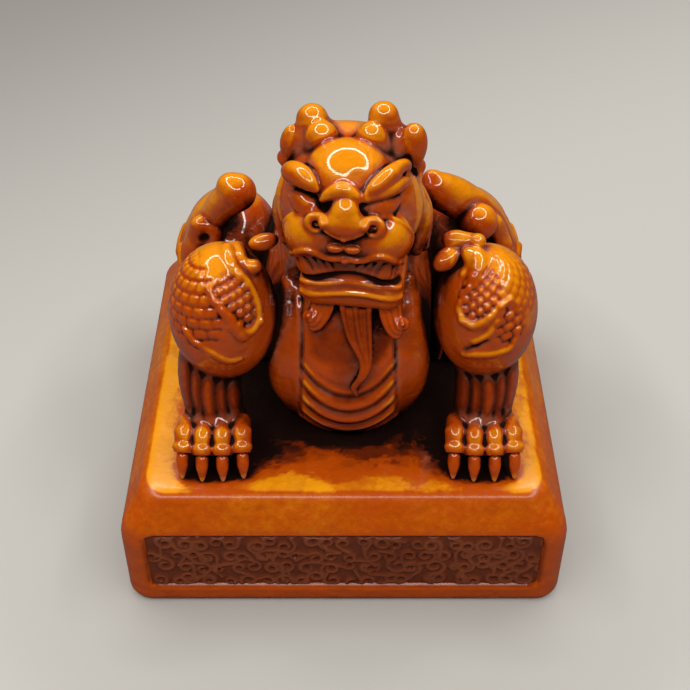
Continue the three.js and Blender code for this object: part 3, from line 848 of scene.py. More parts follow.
def show(data: ID) -> Object:
    """Object for a mesh, lamp or camera, in the scene and by the same name."""
    made = bpy.data.objects.new(data.name, data)
    bpy.context.scene.collection.objects.link(made)
    return made


def stand_in(mesh: Mesh, node: str) -> Object:
    """Piece that shows a mesh in place of a frame node.

    Args:
        mesh: What it shows.
        node: The frame node that it replaces.

    Returns:
        The piece.
    """
    piece = show(mesh)
    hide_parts(node)
    LOG.info("%s: %d faces", piece.name, len(mesh.polygons))
    return piece


@dataclass(frozen=True)
class Trunk:
    """Chest, belly, loin, rump, neck and spine."""

    chest: Blob = Blob((0, -7.5, 16), (12.6, 12.4, 12))
    belly: Blob = Blob((0, -9.6, 9.4), (12.6, 12.6, 12.4))
    loin: Blob = Blob((0, 5, 14.2), (14, 15, 13.4))
    rump: Blob = Blob((0, 17, 12.6), (13.4, 12.4, 12.8))
    keel: Blob = Blob((0, 5, 2), (12.4, 22, 6))
    neck: Stem = Stem([(0, 4, 20), (0.1, -1.5, 29), (0.2, -5, 37)], [12.2, 10.4, 8.8])
    plate_width: float = 16.2
    plate_rise: float = 0.45
    plate_back: float = -9
    plate_edge: Outline = ((-14, 26), (-18.6, 20), (-20.5, 12), (-18.8, 4))
    scute_pitch: float = 3.25
    scute_sag: float = 4.4
    scute_step: float = 1.0
    scute_stain: float = 0.5
    scute_start: float = 14.6
    lock_width: float = 2.1
    lock_height: float = 0.42
    lock_wave: float = 0.5
    spine_line: Line = ((0, 9, 38), (0, 12, 32), (0, 14.8, 27.4), (0, 20, 24.8), (0, 26, 20.6))
    knob_count: int = 8
    knob_half: Point = (1.9, 2.0, 1.7)
    flank: Line = ((9.4, -9.6, 25), (10, -14.4, 17), (10, -15.4, 10), (9, -14.2, 4))
    flank_radii: Widths = (1.2, 2.7, 2.7, 1.6)
    # Painted shade on the chest under the beard and jaw, and on the belly's middle below them.
    beard_shade: Blob = Blob((0, -19, 20), (7, 5, 4.5))
    belly_shade: Blob = Blob((0, -20, 14), (4.5, 5, 8))
    neck_dust_and_sheen: float = 0.5
    beard_stain: float = 0.7
    belly_stain: float = 0.6

    def carve(self, chisel: Chisel) -> None:
        """Carves the trunk.

        Args:
            chisel: What carves.
        """
        masses = ((self.chest, 4), (self.belly, 5), (self.loin, 6), (self.rump, 6), (self.keel, 4))
        for form, blend in masses:
            chisel.join("torso", form, blend)
        chisel.join("neck", self.neck, 2.5)
        # Pale dusting and painted sheen on the neck's sides.
        chisel.rub(self.neck, self.neck_dust_and_sheen, 1.5)
        chisel.emboss(self.neck, self._locks)
        half_width = self.plate_width / 2
        for blob in (self.chest, self.belly):
            grown = Blob(blob.centre, tuple(h + self.plate_rise for h in blob.half))
            chisel.join("belly_plate", Band(grown, half_width, self.plate_back), 0.5)
        plate = Block((0, -16, 12), (half_width, 8, 14), 0.5)
        chisel.emboss(plate, self._scutes)
        # Painted shade under the plates' rims and painted light on their swells.
        chisel.wash(plate, self._scute_shade)
        for sign in (-1, 1):
            flank = [(sign * x, y, z) for x, y, z in self.flank]
            chisel.join("torso", Stem(flank, self.flank_radii), 2)
            edge = [(sign * half_width, y, z) for y, z in self.plate_edge]
            chisel.groove(edge, 0.35, 0.8)
        # Painted shade under the beard and jaw and on the belly's middle.
        chisel.tint(self.beard_shade, self.beard_stain, 2)
        chisel.tint(self.belly_shade, self.belly_stain, 3)
        for place in chisel.drape(self.spine_line, 0.3, self.knob_count)[:: self.knob_count // 2]:
            chisel.join("spine_ridge", Blob(tuple(place), self.knob_half), 0.7)
        chisel.ridge("spine_ridge", self.spine_line, 1.3, 0.8, 0.2, False)

    def _scutes(self, at: Places) -> Array:
        """Overlapping cross plates that sag in the middle."""
        rise, inside = self._scute_place(at)
        return self.scute_step * (rise - 0.5 - smoothstep(0.5, 1.0, rise)) * inside

    def _scute_shade(self, at: Places) -> Array:
        """Painted shade under the rim of each plate, and painted light on its swell, which faces the lamp.

        Args:
            at: X, Y and Z of the points.

        Returns:
            Painted shade to add, and less where painted light falls.
        """
        rise, inside = self._scute_place(at)
        under = smoothstep(0.45, 0.0, rise) + smoothstep(0.8, 1.0, rise)
        lit_band = smoothstep(0.3, 0.55, rise) * smoothstep(0.85, 0.65, rise)
        return self.scute_stain * (under - lit_band) * inside

    def _scute_place(self, at: Places) -> tuple[Array, Array]:
        """Place across the cross plates from rim to rim, and how far a point lies within them.

        Args:
            at: X, Y and Z of the points.

        Returns:
            Shares from 0 to 1, both.
        """
        x, y, z = at
        half_width = self.plate_width / 2
        bow = self.scute_sag * np.square(x / half_width)
        place = (self.scute_start + bow - z) / self.scute_pitch
        inside = smoothstep(half_width, half_width - 1.6, np.abs(x)) * smoothstep(-8, -11, y)
        return place - np.floor(place), inside * smoothstep(0.0, 0.6, place)

    def _locks(self, at: Places) -> Array:
        """Hair of the nape as wavy locks side by side.

        Args:
            at: X, Y and Z of the points.

        Returns:
            Height to add, in millimetres.
        """
        x, y, z = at
        turn = np.arctan2(x, y + 14) * 18
        place = turn / self.lock_width + self.lock_wave * np.sin(z * 0.45)
        back = smoothstep(-1, 3, y) * smoothstep(18, 22, z)
        return self.lock_height * (np.abs(np.sin(math.pi * place)) - 0.6) * back


@dataclass(frozen=True)
class Paw:
    """Four clawed toes in front of an ankle."""

    count: int = 4
    pitch: float = 2.85
    fan: float = 3.0
    toe_line: Outline = ((0, 1.4), (3.6, 1.7), (4.7, 0.6), (5.7, 0.3), (6.9, -1.3))
    toe_radii: Widths = (1.55, 1.62, 1.55, 1.5, 1.4)
    knuckles: Outline = ((3.5, 2.2), (5.7, 0.9))
    knuckle_half: Point = (1.72, 1.0, 0.95)
    claw_line: Outline = ((6.6, 3.3), (7.5, 2.2), (8.3, 0.3))
    claw_radii: Widths = (1.0, 0.9, 0.35)
    claw_bed: float = 0.35
    claw_stain: float = 0.4
    claw_rub: float = 0.5
    gap_line: Outline = ((2.6, 3.4), (5.4, 1.6), (7.2, -1.4))
    gap_radii: Widths = (0.08, 0.12, 0.3)
    gap_stain: float = 0.9
    pad_half: Point = (5.7, 4.6, 4.4)
    pad_back: float = 0.6
    shortening: float = 0.3

    def carve(self, chisel: Chisel, name: str, ankle: Point) -> None:
        """Carves one paw.

        Args:
            chisel: What carves.
            name: The paw's frame node.
            ankle: Middle of the ankle.
        """
        x, y, z = ankle
        chisel.join(name, Blob((x, y + self.pad_back, z), self.pad_half), 0.6)
        for i in range(self.count):
            place = i - (self.count - 1) / 2
            angle = math.radians(place * self.fan)
            short = self.shortening * place * place
            ahead = [(out - (short if out else 0), up) for out, up in self.toe_line]
            toe = [self._along(ankle, place, angle, out, z + up) for out, up in ahead]
            chisel.join(name, Stem(toe, self.toe_radii), 0.25)
            for out, up in self.knuckles:
                middle = self._along(ankle, place, angle, out - short, z + up)
                chisel.join(name, Blob(middle, self.knuckle_half, (-20, 0, 0)), 0.3)
            claw = [self._along(ankle, place, angle, out - short, up) for out, up in self.claw_line]
            chisel.cut(Stem(claw[:2], [radius + self.claw_bed for radius in self.claw_radii[:2]]), 0.3)
            # Painted shade in the bed round the claw.
            chisel.tint(Stem(claw[:2], self.claw_radii[0] + self.claw_bed), self.claw_stain, 0.5)
            chisel.join(name, Stem(claw, self.claw_radii), 0.15)
            chisel.rub(Stem(claw[1:], self.claw_radii[0]), self.claw_rub, 0.5)
        for i in range(self.count - 1):
            place = i - (self.count - 2) / 2
            angle = math.radians(place * self.fan)
            gap = [self._along(ankle, place, angle, out, z + up) for out, up in self.gap_line]
            chisel.cut(Stem(gap, self.gap_radii), 0.2)
            # Painted shade in the gap between two toes.
            chisel.tint(Stem(gap, self.gap_radii[-1]), self.gap_stain, 0.5)

    def _along(self, ankle: Point, place: float, angle: float, out: float, height: float) -> Point:
        """Point on a toe's line."""
        x = ankle[0] + place * self.pitch + out * math.sin(angle)
        return (x, ankle[1] - out * math.cos(angle), height)


@dataclass(frozen=True)
class ScaleField:
    """Field of flat scales in brick rows.

    Args:
        patch: Where the field lies.
        length: Length of a scale.
        width: Width of a scale.
        lean: Lean of the rows in degrees.
        sink: How deep the field lies under the skin round it.
        height: Height of a scale above its grooves.
        rounding: Radius of a scale's corners.
        groove: Half width of the flat between two scales.
    """

    patch: Blob
    length: float
    width: float
    lean: float
    sink: float = 0.35
    height: float = 0.34
    rounding: float = 0.36
    groove: float = 0.03

    SPREAD = (9.0, 10.5)

    def rise(self, centre: Point, at: Places) -> Array:
        """Height of the field at points.

        Args:
            centre: Middle of the boss that the field lies on.
            at: X, Y and Z of the points.

        Returns:
            Millimetres above the boss, below 0 in the grooves.
        """
        dx, dy, dz = (v - c for v, c in zip(at, centre))
        lean = math.radians(self.lean)
        across = self.SPREAD[0] * np.arctan2(dx, -dy)
        up = self.SPREAD[1] * np.arctan2(dz, np.hypot(dx, dy))
        along = across * math.cos(lean) + up * math.sin(lean)
        row = (up * math.cos(lean) - across * math.sin(lean)) / self.width
        number = np.floor(row)
        cell = along / self.length + 0.5 * (number % 2)
        u = np.abs(cell - np.floor(cell) - 0.5) * self.length
        v = np.abs(row - number - 0.5) * self.width
        out_u = np.maximum(u - (self.length / 2 - self.groove - self.rounding), 0)
        out_v = np.maximum(v - (self.width / 2 - self.groove - self.rounding), 0)
        edge = self.rounding - np.hypot(out_u, out_v)
        dome = 0.85 + 0.15 * (1 - np.square(2 * u / self.length)) * (1 - np.square(2 * v / self.width))
        tile = smoothstep(0, 0.24, edge) * dome
        inside = smoothstep(0.4, -0.4, self.patch.distance(at))
        return (self.height * tile - self.sink) * inside


@dataclass(frozen=True)
class ShoulderCut:
    """Lines cut on one shoulder, with X outward.

    Args:
        boss: The shoulder's own mass.
        fields: Its scale fields.
        ridges: Lines of the raised rims, each point with its radius.
        ribbons: Lines of the scroll's ribbons, each point with its radius.
        drops: Balls and leaves of the scroll.
        slot: Line of the dark slot, if it has one.
    """

    boss: Blob
    fields: tuple[ScaleField, ...]
    ridges: tuple[Traced, ...]
    ribbons: tuple[Traced, ...]
    drops: tuple[Blob, ...]
    slot: Line = ()


LEFT_SHOULDER = ShoulderCut(
    boss=Blob((19.6, -13.4, 22), (8.5, 9.2, 11.7)),
    fields=(
        ScaleField(Blob((17, -19.2, 28.6), (2.7, 4, 4.6), (0, 22, 0)), 1.8, 1.5, -12, 0.4, 0.42),
        ScaleField(Blob((23.6, -17.4, 27.4), (5.2, 9, 7.2), (0, 24, 0)), 2.4, 1.95, -8),
    ),
    ridges=(
        (
            (16.2, -16.9, 32, 0.35), (15, -17.1, 30.9, 0.4), (13.9, -17.7, 29.1, 0.4),
            (13.3, -18.5, 27, 0.42), (13.3, -19.4, 25.1, 0.45),
        ),
        ((13.3, -19.4, 25.1, 0.45), (14.3, -20.7, 24.1, 0.55), (15.7, -21.6, 24.5, 0.5)),
        (
            (21, -19.2, 31.2, 0.35), (19.7, -20.7, 29.5, 0.5), (18, -21.5, 27.5, 0.7),
            (16.8, -21.8, 25.7, 0.9), (15.7, -21.6, 23.6, 0.7),
        ),
        (
            (25, -20.5, 24.5, 0.35), (24.1, -21.4, 23.3, 0.5), (21.4, -22.6, 21.8, 0.55),
            (18.5, -22.3, 19.6, 0.55), (16.6, -21.7, 19.4, 0.35),
        ),
    ),
    ribbons=(
        (
            (16.6, -10.2, 33.8, 0.6), (18, -12, 34, 0.85), (18, -13.8, 33.8, 0.9),
            (17.4, -15.6, 33.3, 0.85), (16.2, -16.7, 32.2, 0.5),
        ),
        (
            (14.8, -10, 33.4, 0.7), (16, -11, 33.4, 0.85), (16.2, -12.4, 33.2, 0.9),
            (15.9, -14, 32.9, 0.9), (14.6, -14.6, 32, 0.8),
        ),
    ),
    drops=(Blob((12.9, -11, 33.6), (2.4, 1.4, 1.3), (0, 6, -14)), Blob((14.3, -14.6, 31.7), (1.3, 1.2, 1.1))),
)

RIGHT_SHOULDER = ShoulderCut(
    boss=Blob((21.4, -13.4, 22.1), (8.1, 9, 11.3)),
    fields=(
        ScaleField(Blob((19.6, -18.8, 29.8), (3, 4, 4.2), (0, 24, 0)), 1.6, 1.5, 38, 0.4, 0.46),
        ScaleField(Blob((23.8, -20, 25.4), (2.6, 4, 3.6), (0, -18, 0)), 2.1, 1.7, 22, 0.4, 0.4),
        ScaleField(Blob((24.8, -15.4, 29.6), (4.6, 6, 5.6)), 1.9, 1.6, 30, 0.1, 0.16),
    ),
    ridges=(
        (
            (19.4, -16.8, 32.6, 0.4), (17.8, -18.2, 30.8, 0.42), (16.6, -19, 28.4, 0.42),
            (16.4, -19.5, 27.2, 0.42), (17, -20.5, 26.1, 0.5),
        ),
        (
            (17, -20.5, 26.1, 0.5), (18.4, -21.5, 25.7, 0.62), (20, -21.7, 26.5, 0.62),
            (21.4, -21.4, 27.7, 0.55), (22.6, -20.7, 28.9, 0.45),
        ),
        ((22.6, -20.7, 28.9, 0.45), (24.1, -19.8, 29.4, 0.3)),
        (
            (19, -22.2, 22.9, 0.45), (21, -22.2, 24.6, 0.45), (22, -21.7, 26.4, 0.45),
            (22.7, -20.9, 27.9, 0.35),
        ),
        (
            (17.5, -21.3, 19.6, 0.35), (19.8, -22.3, 20.5, 0.52), (22.8, -22.5, 21, 0.55),
            (24.9, -21.7, 21.8, 0.5), (25.8, -20.8, 24.6, 0.3),
        ),
    ),
    ribbons=(
        ((17, -11, 33.5, 1.1), (18.6, -13, 33.4, 1.3), (19.4, -15, 32.8, 1.2), (18.8, -17, 31.8, 0.7)),
        (
            (16.4, -11.4, 32.9, 0.6), (18, -13, 32.9, 0.7), (18.2, -14.6, 32.4, 0.7),
            (17.2, -15.8, 31.4, 0.6),
        ),
    ),
    drops=(
        Blob((15.1, -12.6, 31.7), (2.8, 1.7, 1.6), (0, -14, 34)),
        Blob((16.4, -10.4, 33.5), (2.3, 1.7, 1.5)),
        Blob((18.2, -10.8, 33.6), (1.8, 1.4, 1.3)),
        Blob((19.5, -11.4, 34), (1.35, 1.3, 1.25)),
    ),
    slot=((17.7, -21.4, 20.9), (19.1, -22, 22.1), (20.8, -22.3, 23.7)),
)


@dataclass(frozen=True)
class Forequarter:
    """Shoulder with its scroll, foreleg and paw."""

    side: Side
    cut: ShoulderCut
    leg: Stem = Stem([(20.8, -12.4, 18), (22.3, -15.8, 11.5), (21.6, -19, 5.5)], [5.4, 5.1, 4.6])
    ankle: Point = (21.5, -21.2, 3.9)
    paw: Paw = Paw()
    leg_stain: float = 1.5
    tendons: Widths = (-3.6, -1.3, 1.1, 3.3)
    tendon_radii: Widths = (0.38, 0.34, 0.26)
    tendon_stain: float = 0.4
    scale_stain: float = 0.32
    slot_radii: Widths = (0.25, 0.45, 0.2)
    slot_stain: float = 0.5
    ribbon_swell: float = 1.3

    def carve(self, chisel: Chisel) -> None:
        """Carves the forequarter.

        Args:
            chisel: What carves.
        """
        shoulder, scroll = self.side.node("shoulder"), self.side.node("shoulder_scroll")
        chisel.join(self.side.node("foreleg"), self.leg, 1.0)
        # Painted shade under the shoulder's overhang, with staining, on the foreleg.
        chisel.tint(self.leg, self.leg_stain, 1.2)
        for across in self.tendons:
            line = [(x + across * r / 5, y - r, z) for (x, y, z), r in zip(self.leg.stations, self.leg.radii)]
            chisel.groove(line, self.tendon_radii, 1.2, 0.2)
            # Painted shade in the groove between tendons.
            chisel.tint(Stem(line, 0.5), self.tendon_stain, 1.0)
        chisel.join(shoulder, self.cut.boss, 0.6)
        for scales in self.cut.fields:
            centre = self.cut.boss.centre
            chisel.emboss(scales.patch, lambda at, scales=scales: scales.rise(centre, at))
            chisel.tint(scales.patch, self.scale_stain, 0.8)
        for line in self.cut.ridges:
            chisel.ridge(shoulder, *parted(line), 0.6)
        if self.cut.slot:
            chisel.groove(self.cut.slot, self.slot_radii, 0.5)
            # Painted shade in the slot.
            chisel.tint(Stem(self.cut.slot, 0.5), self.slot_stain, 0.5)
        for line in self.cut.ribbons:
            places, radii = parted(line)
            chisel.ridge(scroll, places, [self.ribbon_swell * radius for radius in radii], 0.6, -0.4, False)
        for drop in self.cut.drops:
            chisel.join(scroll, drop, 0.4)
        self.paw.carve(chisel, self.side.node("forepaw"), self.ankle)


@dataclass(frozen=True)
class HaunchCut:
    """Flame and curl on one haunch, with X outward.

    Args:
        flame: Line of the flame from its root to its club end.
        flame_radii: Radius at each station of the flame.
        buds: Small knobs on the flame.
        curl_centre: Middle of the curl.
        curl_hole: Whether the curl is an open ring.
    """

    flame: Line
    flame_radii: Widths
    buds: tuple[Blob, ...]
    curl_centre: Point
    curl_hole: bool


LEFT_HAUNCH = HaunchCut(
    flame=((27.6, 13, 12.4), (25.4, 11.8, 18.4), (23.1, 10.4, 23), (20.8, 9.2, 26.8), (18.4, 8.2, 29.6)),
    flame_radii=(2.4, 2.4, 2.5, 2.8, 3.2),
    buds=(Blob((19.6, 8.6, 30.6), (2.2, 2.2, 2.2)),),
    curl_centre=(24.6, 7.4, 21.2),
    curl_hole=True,
)
RIGHT_HAUNCH = HaunchCut(
    flame=(
        (28.4, 13.4, 12.4), (26.4, 13, 17), (23, 12, 22.4),
        (18.6, 10, 27), (15.8, 8.6, 29.4), (14.4, 8, 30.6),
    ),
    flame_radii=(2.6, 2.8, 3.2, 3.4, 3.2, 2.7),
    buds=(Blob((13.8, 8.4, 32.2), (1.6, 1.5, 1.5)),),
    curl_centre=(21.9, 6.2, 24.6),
    curl_hole=False,
)


@dataclass(frozen=True)
class Hindquarter:
    """Haunch with its flame, curl and paw."""

    side: Side
    cut: HaunchCut
    haunch: Blob = Blob((20.8, 16, 11.5), (9.2, 12, 12))
    curl_ring: float = 1.75
    curl_radius: float = 1.2
    ball: float = 3.2
    curl_turns: Span = (230, -150)
    curl_steps: int = 12
    curl_stain: float = 1.2
    lobe: Line = ((25, 8.4, 22.8), (27.2, 8.2, 18.8), (28.2, 8, 14.6))
    lobe_radii: Widths = (1.7, 1.9, 1.2)
    tongue_count: int = 3
    tongue_azimuth: float = 75.0
    tongue_pitch: float = 30.0
    tongue_sweep: float = 35.0
    tongue_high: float = 16.0
    tongue_low: float = -12.0
    tongue_radii: Widths = (0.7, 1.1, 0.5)
    swirl_push: Point = (9, 3, 1)
    swirl_turns: Span = (-60, 420)
    swirl_sizes: Span = (8.6, 1.6)
    swirl_radii: Span = (0.3, 0.6)
    swirl_steps: int = 14
    ankle: Point = (20.8, 7, 4.4)
    paw: Paw = Paw()

    def carve(self, chisel: Chisel) -> None:
        """Carves the hindquarter.

        Args:
            chisel: What carves.
        """
        haunch, flame = self.side.node("haunch"), self.side.node("haunch_flame")
        chisel.join(haunch, self.haunch, 1.2)
        chisel.join(flame, Stem(self.cut.flame, self.cut.flame_radii), 0.8)
        for bud in self.cut.buds:
            chisel.join(flame, bud, 0.6)
        for i in range(self.tongue_count):
            azimuths = self.tongue_azimuth + i * self.tongue_pitch - self.tongue_sweep * np.linspace(0, 1, 3)
            elevations = np.linspace(self.tongue_high, self.tongue_low, 3)
            line = [self.haunch.seat(azimuth, elevation) for azimuth, elevation in zip(azimuths, elevations)]
            chisel.ridge(haunch, line, self.tongue_radii, 0.7)
        chisel.ridge(haunch, self.lobe, self.lobe_radii, 0.6, 0.3)
        self._swirl(chisel)
        self._curl(chisel, self.side.node("haunch_curl"))
        self.paw.carve(chisel, self.side.node("hind_paw"), self.ankle)

    def _swirl(self, chisel: Chisel) -> None:
        """Cuts the swirl on the outer side of the haunch.

        Args:
            chisel: What carves.
        """
        x, y, z = moved(self.haunch.centre, self.swirl_push)
        turns = np.radians(np.linspace(*self.swirl_turns, self.swirl_steps))
        sizes = np.linspace(*self.swirl_sizes, self.swirl_steps)
        line = [(x, y + r * math.cos(a), z + r * math.sin(a)) for a, r in zip(turns, sizes)]
        chisel.groove(line, np.linspace(*self.swirl_radii, self.swirl_steps), 0.8)

    def _curl(self, chisel: Chisel, name: str) -> None:
        """Carves the curl below the flame, an open ring or a ball.

        Args:
            chisel: What carves.
            name: The curl's frame node.
        """
        x, y, z = self.cut.curl_centre
        if not self.cut.curl_hole:
            chisel.join(name, Blob((x, y + 0.6, z), (self.ball, self.ball, self.ball)), 0.4)
            return
        turns = np.radians(np.linspace(*self.curl_turns, self.curl_steps))
        sizes = self.curl_ring * np.linspace(1.25, 0.45, self.curl_steps)
        ring = [(x + r * math.cos(a), y + 0.6, z + r * math.sin(a)) for a, r in zip(turns, sizes)]
        chisel.join(name, Stem(ring, self.curl_radius * np.linspace(1.1, 0.7, self.curl_steps), 3), 0.3)
        chisel.join(name, Blob((x, y + 2.2, z), (2.4, 2.2, 2.4)), 0.6)
        # Painted shade in the curl's hole.
        chisel.tint(Blob((x, y, z), (0.9, 2, 0.9)), self.curl_stain, 0.5)


@dataclass(frozen=True)
class Tail:
    """Tail of three flame locks lying up the rump."""

    root: Line = ((0, 27.6, 5), (-2.6, 29.2, 11), (-1, 29, 17))
    root_radii: Widths = (3.2, 3.3, 2.8)
    locks: tuple[Line, ...] = (
        ((-1, 29, 15), (2.6, 27.6, 20.6), (5.6, 24.2, 25), (5, 21.4, 27.6)),
        ((-1.6, 29, 15), (-0.4, 28, 20.6), (1.4, 26, 24.4)),
        ((-2, 28.8, 14), (-5, 27, 18.4), (-7.6, 24.4, 21)),
    )

    lock_radius: float = 2.3
    lock_taper: Span = (0.35, 0.9)

    def carve(self, chisel: Chisel) -> None:
        """Carves the tail.

        Args:
            chisel: What carves.
        """
        chisel.ridge("tail", self.root, self.root_radii, 0.8, 0.6, False)
        for line in self.locks:
            taper = self.lock_radius * np.sin(np.linspace(*self.lock_taper, len(line)) * math.pi)
            chisel.ridge("tail", line, taper, 0.4, 0.5, False)


@dataclass(frozen=True)
class FaceSide:
    """Forms that differ between the sides of the face, with X outward.

    Args:
        horns: The horn's rear and front prong.
        ear: The ear.
        lobe: Its lobe.
        eye: The eyeball, drawn out into an almond.
        brows: Lobes of the brow.
    """

    horns: tuple[Stem, Stem]
    ear: Stem
    lobe: Blob
    eye: Stem
    brows: tuple[Stem, ...]


LEFT_FACE = FaceSide(
    horns=(
        Stem([(4.8, 4.8, 6.8), (5.8, 4.4, 9.6), (6.2, 4, 11.4)], [3.6, 2.7, 2.4]),
        Stem([(4.6, 3.2, 7), (4.5, 2, 8.8), (4.4, 1.5, 10.1)], [3, 2.6, 2.45]),
    ),
    ear=Stem([(9.6, 3, 6), (9.3, 3, 7.8), (9.2, 3, 9.2), (9.2, 3, 10.3)], [1.3, 1.7, 1.3, 0.5]),
    lobe=Blob((10.2, 3.2, 5), (1.4, 1.4, 1.3)),
    eye=Stem([(7.5, -4.8, 3.8), (5.4, -6.4, 4.1), (3.7, -8, 4.4)], [0.8, 1.95, 0.6]),
    brows=(
        Stem(
            [(8.9, -2.6, 6.5), (7.6, -5, 7.9), (6, -6.7, 8.4), (4.8, -7.8, 8.2), (3.8, -8.4, 7.6)],
            [1, 1.7, 1.65, 1.2, 0.6],
        ),
    ),
)
RIGHT_FACE = FaceSide(
    horns=(
        Stem([(4.4, 5, 7.4), (4.6, 4.4, 10.6), (4.4, 4, 12.8)], [3.6, 2.6, 2.25]),
        Stem([(4.1, 3.2, 7.2), (3.4, 2, 9.4), (3, 1.5, 10.7)], [3, 2.5, 2.3]),
    ),
    ear=Stem([(9.2, 3, 6.6), (8.9, 3, 8.8), (9, 3, 10.4), (9.1, 3, 11.5)], [1.4, 2.2, 1.9, 1.0]),
    lobe=Blob((9.7, 3.6, 5), (1.3, 1.4, 1.3)),
    eye=Stem([(7.4, -4.5, 4.4), (5.2, -6.6, 4.6), (3, -8.4, 5)], [0.8, 2, 0.55]),
    brows=(
        Stem([(3.6, -8.6, 6.8), (5.7, -7.2, 7.2), (7.3, -5, 7), (8.5, -2.6, 6.3)], [0.7, 1.1, 1.25, 0.8]),
        Stem(
            [
                (3.6, -8.5, 7.4), (4.9, -7.6, 8.4), (6.4, -5.4, 8.9),
                (7.6, -2.7, 8.7), (8.4, -1, 8), (8.4, -1.3, 7.2),
            ],
            [0.6, 1.15, 1.3, 1.05, 0.85, 0.65],
        ),
    ),
)


